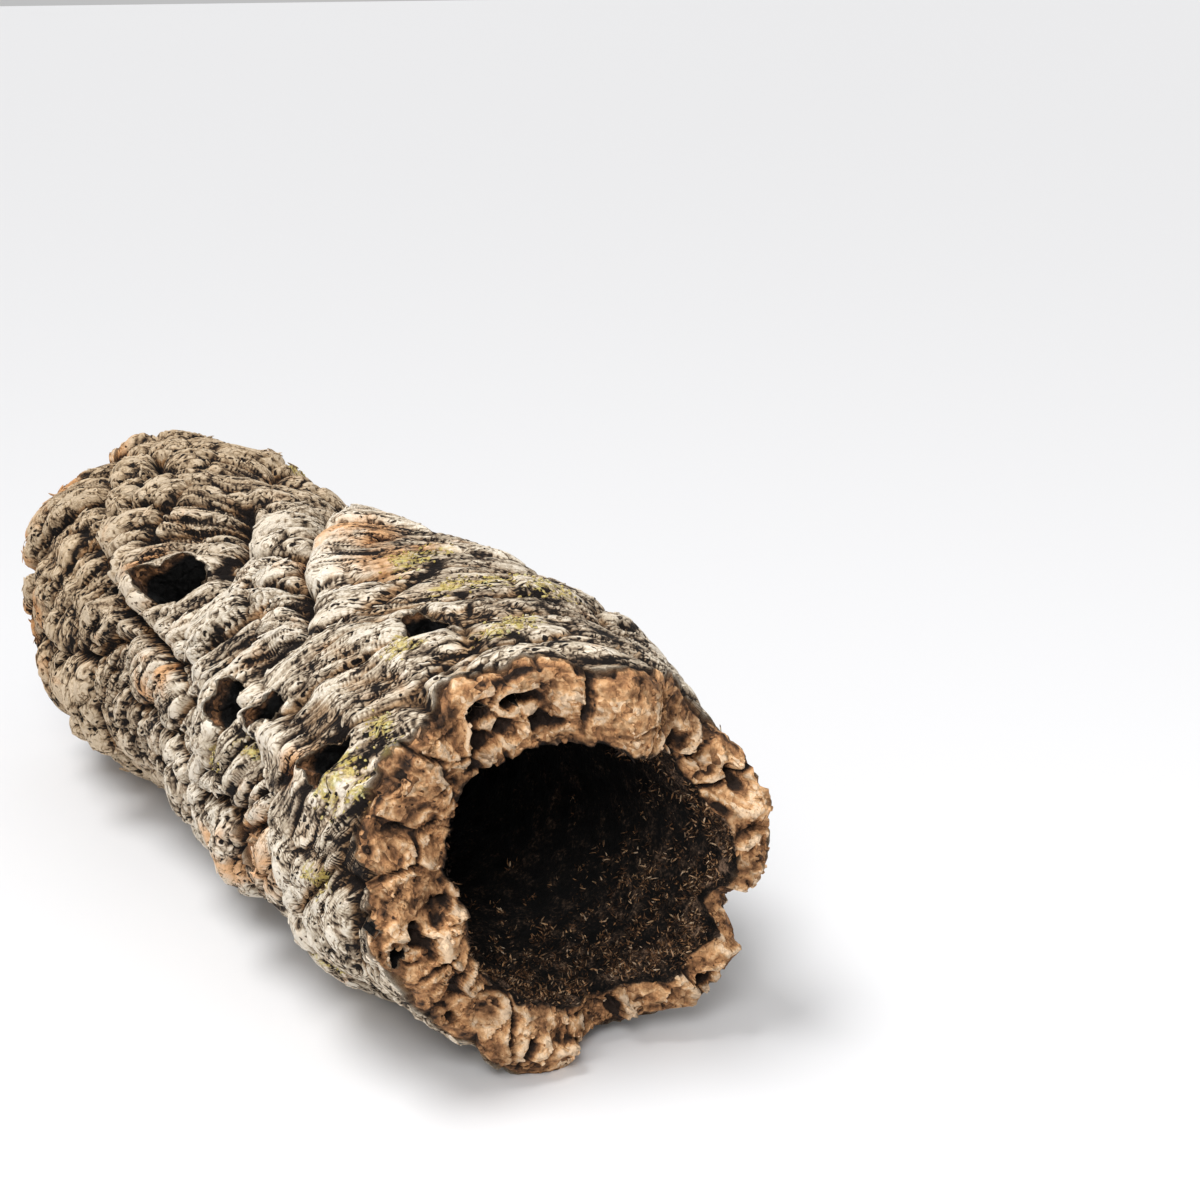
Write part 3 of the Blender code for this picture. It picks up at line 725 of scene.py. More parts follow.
def closed_skin(name, blocks):
    """A closed mesh over blocks of rows, each row a ring; the last row joins the first. Where
    the count of a ring halves or doubles, triangles take it up."""
    rings = [(points[i], {k: m[i] for k, m in masks.items()})
             for points, masks in blocks for i in range(len(points))]
    counts = [len(points) for points, _ in rings]
    starts = np.concatenate([[0], np.cumsum(counts)[:-1]])
    lengths = []
    for i, (points, _) in enumerate(rings):
        after = rings[(i + 1) % len(rings)][0]
        lengths.append(np.linalg.norm(points[0] - after[0]))
    places = np.concatenate([[0], np.cumsum(lengths)]) / sum(lengths)
    quads, quad_uvs, triangles, triangle_uvs = [], [], [], []
    for i, count in enumerate(counts):
        after = (i + 1) % len(rings)
        v, v_after = places[i:i + 2]
        if counts[after] == count:
            j = np.arange(count)
            k = (j + 1) % count
            quads.append(np.stack(
                [starts[i] + j, starts[i] + k, starts[after] + k, starts[after] + j], 1))
            corners = (j, v), (j + 1, v), (j + 1, v_after), (j, v_after)
            quad_uvs.append(np.stack([
                np.stack([u / count, np.full(count, w)], 1) for u, w in corners], 1))
            continue
        fine, coarse = (i, after) if count > counts[after] else (after, i)
        v_fine, v_coarse = (v, v_after) if fine == i else (v_after, v)
        half = counts[coarse]
        for j in range(half):
            a, b, c = (starts[fine] + (2 * j + k) % counts[fine] for k in range(3))
            d, e = starts[coarse] + j, starts[coarse] + (j + 1) % half
            uvs = {a: (j / half, v_fine), b: ((j + 0.5) / half, v_fine),
                   c: ((j + 1) / half, v_fine),
                   d: (j / half, v_coarse), e: ((j + 1) / half, v_coarse)}
            for triangle in ((a, d, b), (b, d, e), (b, e, c)):
                triangle = triangle[::-1] if fine == i else triangle
                triangles.append(triangle)
                triangle_uvs.append([uvs[corner] for corner in triangle])
    vertices = np.concatenate([points for points, _ in rings]) + (0, AXIS_Y, AXIS_HEIGHT)
    vertices[:, 2] = np.maximum(vertices[:, 2], 0)
    faces = np.concatenate(quads).tolist() + triangles
    mesh = bpy.data.meshes.new(name)
    mesh.from_pydata(vertices.tolist(), [], faces)
    uvs = np.concatenate([np.concatenate(quad_uvs).reshape(-1, 2),
                          np.array(triangle_uvs, float).reshape(-1, 2)])
    layer = mesh.uv_layers.new(name="OFBake")
    layer.data.foreach_set("uv", uvs.ravel())
    masks = {key: np.concatenate([masks[key] for _, masks in rings]) for key in rings[0][1]}
    write_masks(mesh, masks, on_circle(masks["grain_x"], BARK_RADIUS, masks["grain_y"]))
    mesh.shade_smooth()
    return add_object(name, mesh)


def add_object(name, data):
    """Adds an object to the scene."""
    made = bpy.data.objects.new(name, data)
    bpy.context.scene.collection.objects.link(made)
    return made


# The plugs start this far above the surface, in millimetres. Their lobes: number, swing
PLUG_START = 12
PLUG_SIDES, PLUG_STEPS = 40, 26
PLUG_LOBES = ((2, 0.1), (3, 0.16), (5, 0.08), (8, 0.05))


def hole_cutters():
    """Ragged plugs that cut the knot holes and the pits, as one object."""
    vertices, faces = [], []
    rng = np.random.default_rng(7)
    plugs = []
    for hole in HOLES:
        degrees, place = hole["at"]
        angle = math.radians(degrees)
        outward = np.array((0, math.cos(angle), math.sin(angle)))
        surface = float(bark_radius(np.array([place * MM]), np.array([angle]))[0])
        along = np.array((1.0, 0, 0))
        around = np.cross(outward, along)
        tilt = math.radians(hole["tilt"])
        first = along * math.cos(tilt) + around * math.sin(tilt)
        second = along * math.sin(tilt) - around * math.cos(tilt)
        start = np.array((place * MM, AXIS_Y, AXIS_HEIGHT))
        start = start + outward * (surface + PLUG_START * MM)
        plugs.append((start, -outward, first, second, hole["size"], hole["deep"]))
    for y, z, size, deep in MOUTH_PITS:
        angle = math.atan2(z, y)
        edge = float(mouth_edge(np.array([angle]))[0])
        start = np.array((edge + PLUG_START * MM, AXIS_Y + y * MM, AXIS_HEIGHT + z * MM))
        plugs.append((start, *np.array(((-1, 0, 0), (0, 1, 0), (0, 0, -1))), (size, size), deep))
    sides, steps = PLUG_SIDES, PLUG_STEPS
    turn = circle(sides)
    dark = []
    for start, inward, first, second, size, deep in plugs:
        base = len(vertices)
        depth = deep + PLUG_START
        shape = 1
        for lobes, swing in PLUG_LOBES:
            shape = shape + swing * np.sin(lobes * turn + rng.uniform(0, 6))
        for i in range(steps + 1):
            t = i / steps
            wide = 1.05 - 0.35 * t if i < steps else 0.45
            rough = 1 + rng.normal(0, 0.03, sides)
            ring = start + inward * depth * MM * t
            ring = ring + np.outer(np.cos(turn) * shape * rough * wide * size[0] * MM, first)
            ring = ring + np.outer(np.sin(turn) * shape * rough * wide * size[1] * MM, second)
            vertices += ring.tolist()
            # Painted shade: the walls grow darker the deeper into the hole
            dark += [0.97 * smooth_step((depth * t - PLUG_START + 1) / 4)] * sides
        for i in range(steps):
            for j in range(sides):
                k = (j + 1) % sides
                a, b = base + i * sides, base + (i + 1) * sides
                faces.append((a + j, a + k, b + k, b + j))
        faces.append(tuple(base + j for j in reversed(range(sides))))
        faces.append(tuple(base + steps * sides + j for j in range(sides)))
    mesh = bpy.data.meshes.new("hole_cutters")
    mesh.from_pydata(vertices, [], faces)
    mesh.uv_layers.new(name="OFBake")
    # The holes' walls: broken cork with painted shade in them
    looks = {"broken": 1.0, "crack_and_shade": 0.3, "hollow_shade": 0.6, "lining": dark}
    flow = np.array(vertices, np.float32) - np.array((0, AXIS_Y, AXIS_HEIGHT), np.float32)
    write_masks(mesh, looks, flow)
    mesh.shade_smooth()
    return add_object("hole_cutters", mesh)


def cut_holes(piece, cutters):
    """Cuts the holes for good and keeps the piece's masks."""
    cut = piece.modifiers.new("holes", "BOOLEAN")
    cut.operation = "DIFFERENCE"
    cut.solver = "MANIFOLD"
    cut.object = cutters
    graph = bpy.context.evaluated_depsgraph_get()
    mesh = bpy.data.meshes.new_from_object(
        piece.evaluated_get(graph), preserve_all_data_layers=True, depsgraph=graph)
    piece.modifiers.clear()
    piece.data = mesh
    mesh.shade_smooth()


def pull_to_rim(points, from_end, shift):
    """Moves the bark near an end along with the ragged edge of the broken cork there."""
    points[..., 0] += shift * np.exp(-from_end / EDGE_PULL)


def build_bark():
    """The three pieces of the tube, and the grids that loose pieces are laid on."""
    points, masks, from_far, from_mouth = outside()
    first, second = FAR_ROWS, FAR_ROWS + MIDDLE_ROWS
    half = COLUMNS // 2
    far_x, mouth_x = far_edge(circle(half)), mouth_edge(circle(half))
    mouth_bore = bore(mouth_edge(circle(COLUMNS))[None, :])[0][0]
    far_bore = bore(far_edge(circle(COLUMNS))[None, :])[0][0]
    mouth_rim = rim(points[-1], mouth_bore, 1, RIM_ROWS, 301)
    far_rim = rim(points[0], far_bore, -1, FAR_RIM_ROWS, 401)
    mouth_shift = mouth_rim[0][0, :, 0] - points[-1, :, 0]
    far_shift = far_rim[0][0, :, 0] - points[0, :, 0]
    pull_to_rim(points, from_mouth, mouth_shift)
    pull_to_rim(points, from_far, far_shift)
    skin = (points, masks)
    backwards = slice(None, None, -1)

    def bore_rows(start, end, skip=0):
        """Rows of the lining from one place on X to another, without the first few."""
        start, end = np.broadcast_to(start, half), np.broadcast_to(end, half)
        count = max(2, round(float(np.max(np.abs(end - start))) / BORE_STEP))
        shares = np.arange(skip, count + 1)[:, None] / count
        return bore(start * (1 - shares) + end * shares)

    pieces = [
        closed_skin("bark_mouth", [
            rows_of(skin, slice(second, -1)), mouth_rim, bore_rows(mouth_x, SEAMS[1], 1)]),
        closed_skin("bark_middle", [
            rows_of(skin, slice(first, second + 1)), bore_rows(SEAMS[1], SEAMS[0])]),
        closed_skin("bark_far", [
            rows_of(skin, slice(1, first + 1)),
            rows_of(bore_rows(far_x, SEAMS[0], 1), backwards), rows_of(far_rim, backwards)]),
    ]
    return pieces, skin, mouth_rim


# Loose plates: how many, then the least and most of their length in millimetres, width as a
# share of it, thickness, turn, lift, and height above the surface in millimetres
SCALES = (1300, ((3, 9), (0.18, 0.36), (0.1, 0.25), (-0.3, 0.3), (-0.12, 0.12), (-0.2, 0.15)))
CRUSTS = (800, ((0.7, 2.0), (0.5, 1), (0.1, 0.3), (0, 6.28), (-0.5, 0.5), (0, 0.4)))
CRUMBS = (450, ((1.0, 3.2), (0.4, 0.9), (0.2, 0.8), (0, 6.28), (-0.5, 0.5), (-0.1, 0.2)))
CORNERS = 7
CLEAR_OF_HOLES = 1.35
CLEAR_OF_FLOOR = 6 * MM

# Shreds of the lining: clumps, shreds in each, how far they are strewn, how far into the bore
SHRED_CLUMPS, SHREDS_EACH = 560, 13
SHREDS_STREWN = 1.4 * MM
SHREDS_REACH = 100 * MM


def laid_on(block, rng, count, weight):
    """Random places on a grid, picked by weight: points, tangents, normals and masks there."""
    points, masks = block
    chances = np.maximum(weight, 0).ravel()
    which = rng.choice(chances.size, count, p=chances / chances.sum())
    row, column = np.unravel_index(which, weight.shape)
    row = np.clip(row, 1, len(points) - 2)
    columns = points.shape[1]
    around = points[row, (column + 1) % columns] - points[row, column - 1]
    along = points[row + 1, column] - points[row - 1, column]
    around /= np.linalg.norm(around, axis=1, keepdims=True) + 1e-9
    normal = np.cross(around, along)
    normal /= np.linalg.norm(normal, axis=1, keepdims=True) + 1e-9
    spots = points[row, column] + (0, AXIS_Y, AXIS_HEIGHT)
    here = {name: values[row, column] for name, values in masks.items()}
    return spots, around, normal, here


def turned_frame(around, normal, angle, lift):
    """Three directions per piece: along it, across it and up, turned and lifted off the bark."""
    side = np.cross(normal, around)
    along = around * np.cos(angle)[:, None] + side * np.sin(angle)[:, None]
    across = np.cross(normal, along)
    raised = along * np.cos(lift)[:, None] + normal * np.sin(lift)[:, None]
    return raised, across, np.cross(raised, across)


def loose_mesh(name, vertices, faces, uvs, per_piece, here, looks):
    """One object of many small closed pieces, with the masks that the material reads."""
    count = len(here["grain_x"])
    vertices = vertices.reshape(-1, 3)
    vertices[:, 2] = np.maximum(vertices[:, 2], 0)
    mesh = bpy.data.meshes.new(name)
    all_faces = [tuple(base + i for i in face)
                 for base in range(0, count * per_piece, per_piece) for face in faces]
    mesh.from_pydata(vertices.tolist(), [], all_faces)
    cell = math.ceil(math.sqrt(count))
    numbers = np.arange(count)
    corner = np.stack([numbers % cell, numbers // cell], 1) / cell
    spread = corner[:, None, :] + np.array(uvs)[None, :, :] / cell
    mesh.uv_layers.new(name="OFBake").data.foreach_set("uv", spread.ravel())
    masks = {key: np.repeat(np.broadcast_to(looks.get(key, here[key]), count), per_piece)
             for key in MASKS}
    flow = on_circle(here["grain_x"], BARK_RADIUS, here["grain_y"])
    centres = vertices.reshape(count, per_piece, 3)
    write_masks(mesh, masks, flow[:, None, :] + centres - centres[:, :1])
    return add_object(name, mesh)


def plates(name, block, rng, weight, kind, looks):
    """Thin angular plates with ragged outlines, laid on a grid where the weight is high. A look
    is one number for all of them, or the least and the most of a random one."""
    count, sizes = kind
    spots, around, normal, here = laid_on(block, rng, count, weight)
    length, width, thick, angle, lift, sink = (rng.uniform(*limits, count) for limits in sizes)
    looks = {key: rng.uniform(*look, count) if isinstance(look, tuple) else look
             for key, look in looks.items()}
    length, thick, sink = length * MM, thick * MM, sink * MM
    width = length * width
    along, across, up = turned_frame(around, normal, angle, lift)
    turn = 2 * math.pi * (np.arange(CORNERS) + rng.uniform(-0.3, 0.3, (count, CORNERS))) / CORNERS
    reach = rng.uniform(0.65, 1.1, (count, CORNERS))
    ring = (along[:, None] * (np.cos(turn) * reach * length[:, None] / 2)[..., None]
            + across[:, None] * (np.sin(turn) * reach * width[:, None] / 2)[..., None])
    middle = (spots + normal * sink[:, None])[:, None]
    dome = up[:, None] * thick[:, None, None]
    top, bottom = middle + 0.8 * ring + dome, middle + ring - 0.6 * dome
    k = np.arange(CORNERS)
    after = (k + 1) % CORNERS
    faces = [tuple(k), tuple((k + CORNERS)[::-1])]
    faces += [(b, a, a + CORNERS, b + CORNERS) for a, b in zip(k, after)]
    flat = on_circle(0 * k, 1, circle(CORNERS))[:, 1:]
    left, right = (0.25, 0.5), (0.75, 0.5)
    inner, outer, below = left + 0.17 * flat, left + 0.23 * flat, right + 0.22 * flat
    uvs = [*inner, *below[::-1]]
    for a, b in zip(k, after):
        uvs += [inner[b], inner[a], outer[a], outer[b]]
    vertices = np.concatenate([top, bottom], axis=1)
    return loose_mesh(name, vertices, faces, uvs, 2 * CORNERS, here, looks)


def slivers(name, placed, length, thick, angle, lift, bend, looks):
    """Thin bent shreds, three-sided and pointed."""
    spots, around, normal, here = placed
    along, across, up = turned_frame(around, normal, angle, lift)
    stations = np.array((0, 0.4, 0.75, 1.0))
    wide = np.array((0.8, 1.0, 0.7, 0.15))
    rings = []
    for t, share in zip(stations, wide):
        middle = spots + along * (t * length)[:, None]
        middle = middle + across * (bend * length * t * t)[:, None] - 0.3 * MM * normal
        for k in range(3):
            turn = 2 * math.pi * k / 3
            way = across * math.cos(turn) + up * math.sin(turn)
            rings.append(middle + way * (share * thick)[:, None])
    vertices = np.stack(rings, axis=1)
    faces, uvs = [(2, 1, 0), (9, 10, 11)], [(0.02, 0.02), (0.04, 0.02), (0.03, 0.04)] * 2
    grid = 0.1 + 0.28 * np.arange(4)
    for step in range(3):
        for k in range(3):
            a, b = 3 * step + k, 3 * step + (k + 1) % 3
            faces.append((a, b, b + 3, a + 3))
            left, right, low, high = *grid[k:k + 2], *grid[step:step + 2]
            uvs += [(left, low), (right, low), (right, high), (left, high)]
    return loose_mesh(name, vertices, faces, uvs, 12, here, looks)


def build_loose(skin, mouth_rim):
    """Scales and lichen on the bark, crumbs on the broken rim and shreds in the bore."""
    rng = np.random.default_rng(17)
    points, masks = skin
    angle = np.arctan2(points[..., 2], points[..., 1])
    clear = np.ones_like(angle)
    for hole in HOLES:
        clear = clear * (hole_distance(points[..., 0], angle, hole) > CLEAR_OF_HOLES)
    above_floor = points[..., 2] > CLEAR_OF_FLOOR - AXIS_HEIGHT
    whole = clear * (1 - masks["crack_and_shade"]) * above_floor * (1 - masks["broken"])
    grown = (masks["lichen"] > 0.35) * masks["lichen"] ** 2
    made = [
        plates("bark_scales", skin, rng, whole * (0.15 + np.maximum(0, -masks["hollow_shade"])),
               SCALES, {"crack_and_shade": 0.0}),
        plates("lichen", skin, rng, whole * grown, CRUSTS,
               {"lichen": (0.4, 2.0), "crack_and_shade": 0.0, "pale_and_mouth_light": (-1, 1)}),
    ]
    masks = mouth_rim[1]
    made.append(plates(
        "cork_crumbs", mouth_rim, rng, (1 - masks["crack_and_shade"]) * (1 - masks["lining"]),
        CRUMBS, {"crack_and_shade": 0.0, "lining": 0.0, "pale_and_mouth_light": 0.0}))

    def some(low, high):
        return rng.uniform(low, high, shreds)

    steps = np.linspace(0, 1, 160)[:, None]
    edge = mouth_edge(circle(COLUMNS))[None, :]
    lining = bore(edge - SHREDS_REACH * steps)
    turned = lining[1]["grain_y"]
    weight = lining[1]["pale_and_mouth_light"] ** 1.3 * (steps > 0.03)
    weight = weight * np.maximum(0, 0.6 - 0.6 * np.sin(turned) + 0.3 * np.cos(turned))
    spots, around, normal, here = laid_on(lining, rng, SHRED_CLUMPS, weight)
    shreds = SHRED_CLUMPS * SHREDS_EACH
    spots, around, normal = (np.repeat(v, SHREDS_EACH, axis=0) for v in (spots, around, normal))
    here = {name: np.repeat(values, SHREDS_EACH) for name, values in here.items()}
    outward = np.sum(normal * (spots - (0, AXIS_Y, AXIS_HEIGHT)) * (0, 1, 1), axis=1)
    normal = -normal * np.sign(outward)[:, None]
    strewn = rng.normal(0, SHREDS_STREWN, (shreds, 3))
    spots = spots + strewn - normal * np.sum(strewn * normal, axis=1, keepdims=True)
    made.append(slivers(
        "lining_shreds", (spots, around, normal, here), some(0.6, 2.6) * MM,
        some(0.12, 0.36) * MM, some(0, 6.28), some(0, 1.2), some(-0.7, 0.7),
        {"lining": 0.0, "broken": some(0.3, 1), "crack_and_shade": 1.15 - 1.7 * some(0, 1) ** 2.2,
         "hollow_shade": 0.1, "pale_and_mouth_light": 0.0}))
    return made


class Shading:
    """Adds shader nodes to a new material, one short call for each."""

    def __init__(self, name):
        self.material = bpy.data.materials.new(name)
        self.material.use_nodes = True
        self.tree = self.material.node_tree
        self.shader = self.tree.nodes["Principled BSDF"]

    def add(self, kind, inputs, **settings):
        node = self.tree.nodes.new(kind)
        for key, value in settings.items():
            setattr(node, key, value)
        for key, value in inputs.items():
            self.set(node.inputs[key], value)
        return node

    def set(self, socket, value):
        if isinstance(value, bpy.types.NodeSocket):
            self.tree.links.new(value, socket)
        else:
            socket.default_value = value

    def sum(self, operation, first, second=0.0, third=0.0, clamp=False):
        inputs = {0: first, 1: second, 2: third}
        return self.add("ShaderNodeMath", inputs, operation=operation, use_clamp=clamp).outputs[0]

    def weighed(self, start, *terms, clamp=False):
        """A start plus each value times its weight, one after the other."""
        for term in terms:
            start = self.sum("MULTIPLY_ADD", *term, start, clamp and term is terms[-1])
        return start

    def vector(self, operation, first, second, output=0):
        inputs = {0: first, 1: second}
        return self.add("ShaderNodeVectorMath", inputs, operation=operation).outputs[output]

    def mask(self, name, output="Fac"):
        """What the mesh stores under this name."""
        return self.add("ShaderNodeAttribute", {}, attribute_name=name).outputs[output]

    def stretched(self, vector, across, along):
        """Coordinates in which a cell is `across` by `along` millimetres."""
        scale = (1 / (across * MM), 1 / (along * MM), 1 / (along * MM))
        return self.vector("MULTIPLY", vector, scale)

    def noise(self, vector, across, along, detail, roughness=0.5, output="Fac"):
        """Noise with lumps of `across` by `along` millimetres."""
        inputs = {"Vector": self.stretched(vector, across, along), "Scale": 1.0,
                  "Detail": detail, "Roughness": roughness}
        return self.add("ShaderNodeTexNoise", inputs).outputs[output]

    def voronoi(self, vector, feature="F1"):
        """Cells of random shape, one unit in size."""
        return self.add("ShaderNodeTexVoronoi", {"Vector": vector, "Scale": 1.0}, feature=feature)

    def choose(self, share, first, second):
        """The first vector where the share is 0 and the second where it is 1."""
        inputs = {0: share, 4: first, 5: second}
        return self.add("ShaderNodeMix", inputs, data_type="VECTOR").outputs[1]

    def number(self, cell, channel=0):
        """A cell's own random number, from one channel of its colour."""
        return self.add("ShaderNodeSeparateColor", {0: cell.outputs["Color"]}).outputs[channel]

    def facets(self, vector, cell):
        """Flat facets on these cells, each leaning its own way, about -0.4 to 0.4 high."""
        away = self.vector("SUBTRACT", vector, cell.outputs["Position"])
        way = self.vector("SUBTRACT", cell.outputs["Color"], (0.5, 0.5, 0.5))
        return self.vector("DOT_PRODUCT", away, way, "Value")

    def ramp(self, value, stops):
        """Colours at these places from 0 to 1, blended between."""
        node = self.add("ShaderNodeValToRGB", {0: value})
        points = node.color_ramp.elements
        points[0].position, points[0].color = stops[0][0], (*stops[0][1], 1)
        points[1].position, points[1].color = stops[-1][0], (*stops[-1][1], 1)
        for place, colour in stops[1:-1]:
            points.new(place).color = (*colour, 1)
        return node.outputs["Color"]

    def spread(self, value, low, high):
        """0 below low, 1 above high, and a smooth rise between."""
        inputs = {"Value": value, "From Min": low, "From Max": high}
        return self.add("ShaderNodeMapRange", inputs, interpolation_type="SMOOTHSTEP").outputs[0]

    def fall(self, value, low, high):
        """1 below low, 0 above high, and a smooth fall between."""
        return self.sum("SUBTRACT", 1.0, self.spread(value, low, high))

    def mix(self, share, first, second, blend="MIX"):
        """The first colour where the share is 0 and the second where it is 1."""
        inputs = {0: share, 6: first, 7: second}
        return self.add(
            "ShaderNodeMix", inputs, data_type="RGBA", blend_type=blend).outputs[2]

    def tinted(self, share, colour, *tint):
        """A colour multiplied by a tint where the share is 1."""
        return self.mix(share, colour, self.mix(1.0, colour, (*tint, 1), "MULTIPLY"))


BUMP_DEPTH = 1.3 * MM
ROUGHNESS = 0.85
SHEEN = 0.25


def bark_material():
    """Weathered bark, broken cork and the dark lining, told apart by the mesh's masks. Shade in
    hollows, holes, the bore and at the far end is painted, and so is light inside the mouth.
    """
    s = Shading("cork_bark")
    flow = s.mask("flow", "Vector")
    place = s.add("ShaderNodeTexCoord", {}).outputs["Object"]
    broken, crack_and_shade, hollow_shade, lining, lichen, stain, pale_and_mouth_light = (s.mask(m) for m in (
        "broken", "crack_and_shade", "hollow_shade", "lining", "lichen", "stain", "pale_and_mouth_light"))

    # Cells in three sizes, long and along the grain on bark, even on broken cork
    wander = s.vector("MULTIPLY", s.noise(place, 4, 4, 1, output="Color"), (1.6, 1.6, 1.6))

    def wandering(vector, across, along):
        """Coordinates in cells whose borders waver."""
        return s.vector("ADD", s.stretched(vector, across, along), wander)

    big_at = s.choose(broken, wandering(flow, 2.1, 11), wandering(place, 6, 6))
    small_at = s.choose(broken, wandering(flow, 1.6, 3.6), s.stretched(place, 2, 2))
    dot_at = s.choose(broken, wandering(flow, 1.25, 2.3), s.stretched(place, 2.6, 2.6))
    big, small, dots = s.voronoi(big_at), s.voronoi(small_at), s.voronoi(dot_at)
    edge = s.voronoi(big_at, "DISTANCE_TO_EDGE").outputs["Distance"]
    chips, chiplets = s.facets(big_at, big), s.facets(small_at, small)

    # Bark: flakes along the grain with dark gaps, pores, lighter and darker patches, and painted
    #     # shade in its hollows
    fibre = s.noise(flow, 0.75, 8, 3, 0.65)
    streak = s.noise(flow, 4, 18, 3, 0.55)
    speck = s.noise(place, 0.8, 0.8, 2, 0.6)
    patch = s.noise(place, 24, 24, 2, 0.6)
    tone = s.noise(place, 9, 9, 3, 0.65)
    mottle = s.noise(place, 2.2, 2.2, 2, 0.6)
    warmth = s.noise(place, 12, 12, 3, 0.65)
    flake_tone, scale_tone = s.number(big), s.number(small, 1)
    gap = s.sum("MULTIPLY", s.fall(edge, 0.0, 0.13), s.spread(tone, 0.38, 0.56))

    def spots(cell, share, edge):
        """Dark pores: a share of the cells, each with a size of its own."""
        reach = s.sum("MULTIPLY_ADD", s.number(cell), 0.75, share - 0.75)
        return s.spread(s.sum("SUBTRACT", reach, cell.outputs["Distance"]), -edge, edge)

    pit = spots(small, 0.36, 0.05)
    pore = s.sum("MAXIMUM", spots(dots, 0.34, 0.06), pit)
    outline = s.spread(small.outputs["Distance"], 0.42, 0.72)
    light = s.weighed(
        -0.82, (fibre, 1.15), (streak, 0.55), (speck, 0.4), (patch, 0.5), (flake_tone, 0.2),
        (scale_tone, 0.16), (outline, -0.16), (hollow_shade, -0.38), (pale_and_mouth_light, 0.2), (crack_and_shade, -0.7),
        (gap, -0.5), (pore, -0.75), clamp=True)
    bark = s.ramp(light, (
        (0.0, (0.008, 0.005, 0.004)), (0.18, (0.06, 0.04, 0.026)), (0.38, (0.23, 0.17, 0.115)),
        (0.6, (0.49, 0.395, 0.285)), (0.8, (0.72, 0.615, 0.475)), (1.0, (0.88, 0.79, 0.66))))
    warm = s.spread(s.weighed(warmth, (stain, 0.5)), 0.55, 0.95)
    bark = s.tinted(s.sum("MULTIPLY", warm, 0.85), bark, 1.0, 0.62, 0.34)
    # Painted shade: the bark is tinted darker and browner towards the far end
    far = s.fall(s.add("ShaderNodeSeparateXYZ", {0: place}).outputs["X"], -0.12, 0.03)
    bark = s.tinted(far, bark, 0.8, 0.7, 0.58)
    # Browner in the hollows, a painted shade, and in broad random patches
    dust_and_shade = s.spread(s.sum("ADD", hollow_shade, s.sum("MULTIPLY", patch, 1.2)), 0.3, 1.2)
    bark = s.tinted(dust_and_shade, bark, 0.8, 0.62, 0.45)
    grown = s.weighed(s.noise(flow, 1.8, 5, 3, 0.7), (lichen, 0.38))
    grown = s.sum("MULTIPLY", s.spread(grown, 0.74, 0.9), s.spread(light, 0.12, 0.4))
    hue = s.ramp(mottle, (
        (0.36, (0.3, 0.22, 0.05)), (0.48, (0.6, 0.45, 0.1)), (0.6, (0.62, 0.53, 0.16)),
        (0.72, (0.6, 0.6, 0.33))))
    bark = s.mix(s.sum("MULTIPLY", grown, 0.8), bark, hue)

    # Broken cork: warm and mottled, paler where it stands out, with fine cracks, and painted shade
    #     # in its hollows
    seam = s.sum("MULTIPLY", s.fall(edge, 0.0, 0.05), s.spread(tone, 0.42, 0.58))
    dot = s.sum("MULTIPLY_ADD", s.number(dots), 0.5, -0.25)
    dot = s.spread(s.sum("SUBTRACT", dot, dots.outputs["Distance"]), -0.03, 0.06)
    lit = s.weighed(
        -0.4, (mottle, 0.65), (tone, 1.0), (speck, 0.3), (hollow_shade, -0.36), (chips, 0.65),
        (seam, -0.15), (dot, -0.4), (crack_and_shade, -0.4), clamp=True)
    cork = s.ramp(lit, (
        (0.0, (0.025, 0.014, 0.009)), (0.2, (0.1, 0.048, 0.023)), (0.42, (0.29, 0.138, 0.06)),
        (0.62, (0.55, 0.285, 0.125)), (0.82, (0.76, 0.46, 0.235)), (1.0, (0.88, 0.64, 0.42))))
    grey = s.spread(warmth, 0.46, 0.6)
    cork = s.tinted(s.sum("MULTIPLY", grey, 0.75), cork, 0.6, 0.6, 0.62)

    # Lining: almost black, partly painted shade, with brown shreds; painted light makes it paler
    # near the mouth
    shred = s.weighed(s.noise(place, 1.3, 1.3, 3, 0.7), (hollow_shade, -0.2), (pale_and_mouth_light, 0.2))
    dark = s.ramp(shred, (
        (0.42, (0.001, 0.0008, 0.0006)), (0.58, (0.005, 0.0033, 0.0023)),
        (0.72, (0.05, 0.031, 0.02)), (0.9, (0.25, 0.155, 0.1))))

    colour = s.mix(broken, bark, cork)
    colour = s.mix(s.spread(lining, 0.1, 0.85), colour, dark)
    s.set(s.shader.inputs["Base Color"], colour)

    # Fine relief below the mesh's own
    rise = s.weighed(
        0.0, (flake_tone, 0.3), (fibre, 0.8), (chiplets, 1.1), (speck, 0.5), (pit, -0.8))
    flaky = s.weighed(0.0, (speck, 0.5), (mottle, 0.9), (chips, 4.0), (chiplets, 1.6))
    both = s.add("ShaderNodeMix", {0: broken, 2: rise, 3: flaky}, data_type="FLOAT").outputs[0]
    bump = s.add("ShaderNodeBump", {"Height": both, "Strength": 1.0, "Distance": BUMP_DEPTH})
    s.set(s.shader.inputs["Normal"], bump.outputs["Normal"])
    s.shader.inputs["Roughness"].default_value = ROUGHNESS
    s.shader.inputs["Specular IOR Level"].default_value = SHEEN
    return s.material


FLOOR_SIZE = 14
FLOOR_COLOUR = (0.77, 0.77, 0.78, 1)
FLOOR_ROUGHNESS = 0.6


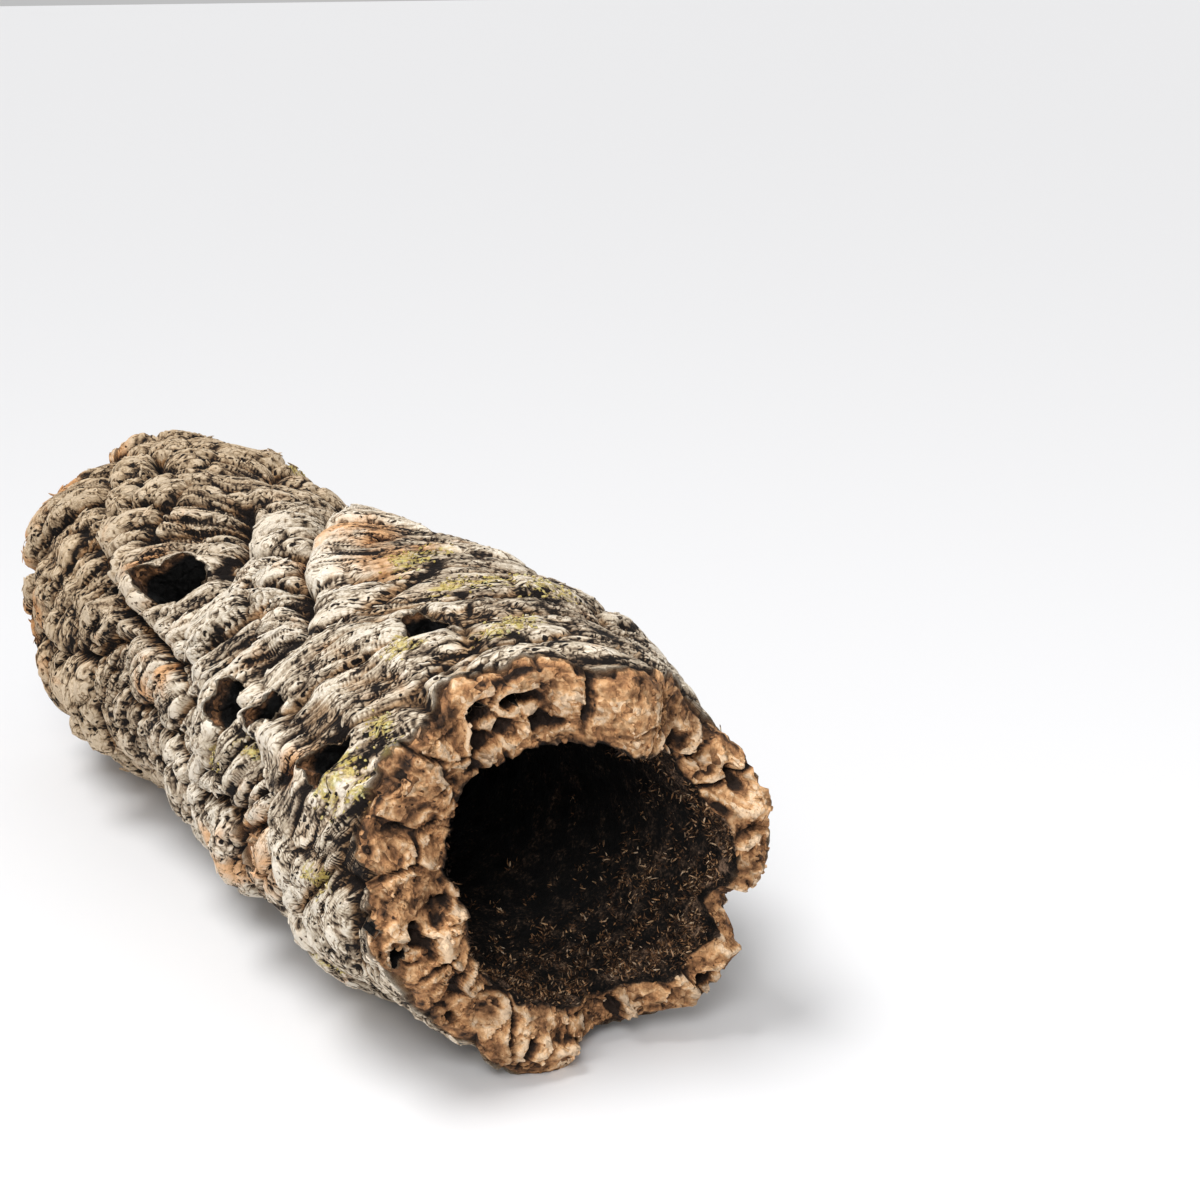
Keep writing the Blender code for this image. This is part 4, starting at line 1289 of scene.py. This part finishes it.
def add_floor():
    """A plain pale floor, far larger than the view of the tube."""
    mesh = bpy.data.meshes.new("floor")
    corners = [(x * FLOOR_SIZE, y * FLOOR_SIZE, 0) for x, y in ((-1, -1), (1, -1), (1, 1), (-1, 1))]
    mesh.from_pydata(corners, [], [(0, 1, 2, 3)])
    floor = add_object("floor", mesh)
    material = bpy.data.materials.new("floor")
    material.use_nodes = True
    shader = material.node_tree.nodes["Principled BSDF"]
    shader.inputs["Base Color"].default_value = FLOOR_COLOUR
    shader.inputs["Roughness"].default_value = FLOOR_ROUGHNESS
    mesh.materials.append(material)


# Studio light: a white surround, a wide sun and a soft lamp, which face a point in the tube
SURROUND = 0.52
SUN_POWER, SUN_SPREAD, SUN_PLACE = 2.1, math.radians(26), (-0.3, -0.5, 1.5)
LAMP_POWER, LAMP_SIZE, LAMP_PLACE = 6, 0.4, (0.75, -0.5, 0.8)
LIT_POINT = (0, 0, 0.05)


def add_lights():
    """Plain, soft studio light from above and from the mouth's side."""
    world = bpy.data.worlds.new("studio")
    bpy.context.scene.world = world
    world.use_nodes = True
    background = world.node_tree.nodes["Background"]
    background.inputs["Color"].default_value = (1, 1, 1, 1)
    background.inputs["Strength"].default_value = SURROUND
    sun = bpy.data.lights.new("softbox", "SUN")
    sun.energy, sun.angle = SUN_POWER, SUN_SPREAD
    left = bpy.data.lights.new("left", "AREA")
    left.energy, left.size = LAMP_POWER, LAMP_SIZE
    for light, place in ((sun, SUN_PLACE), (left, LAMP_PLACE)):
        lamp = add_object(light.name, light)
        lamp.location = place
        facing = Vector(LIT_POINT) - Vector(place)
        lamp.rotation_euler = facing.to_track_quat("-Z", "Y").to_euler()


# The camera, fitted to the photograph
CAMERA_PLACE = (0.60784, -0.29179, 0.32482)
CAMERA_TURN, CAMERA_PITCH = math.radians(56.1), math.radians(18.2)
CAMERA_FOCUS = 58.5
SENSOR = 36


def add_camera():
    """The photograph's camera."""
    turn, pitch = CAMERA_TURN, CAMERA_PITCH
    level = math.cos(pitch)
    ahead = Vector((-math.sin(turn) * level, math.cos(turn) * level, -math.sin(pitch)))
    right = Vector((math.cos(turn), math.sin(turn), 0))
    up = right.cross(ahead)
    camera = add_object("camera", bpy.data.cameras.new("camera"))
    facing = Matrix((right, up, -ahead)).transposed().to_4x4()
    camera.matrix_world = Matrix.Translation(CAMERA_PLACE) @ facing
    camera.data.sensor_width = SENSOR
    camera.data.lens = CAMERA_FOCUS
    bpy.context.scene.camera = camera


def main():
    """Builds the tube, its loose pieces and the studio."""
    add_camera()
    add_lights()
    add_floor()
    bpy.context.scene.view_settings.view_transform = "Standard"
    cutters = hole_cutters()
    material = bark_material()
    pieces, skin, mouth_rim = build_bark()
    for piece in pieces:
        cut_holes(piece, cutters)
    for piece in pieces + build_loose(skin, mouth_rim):
        piece.data.materials.clear()
        piece.data.materials.append(material)
        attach(piece, BODY)
        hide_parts(NODE)
    bpy.data.objects.remove(cutters)


main()
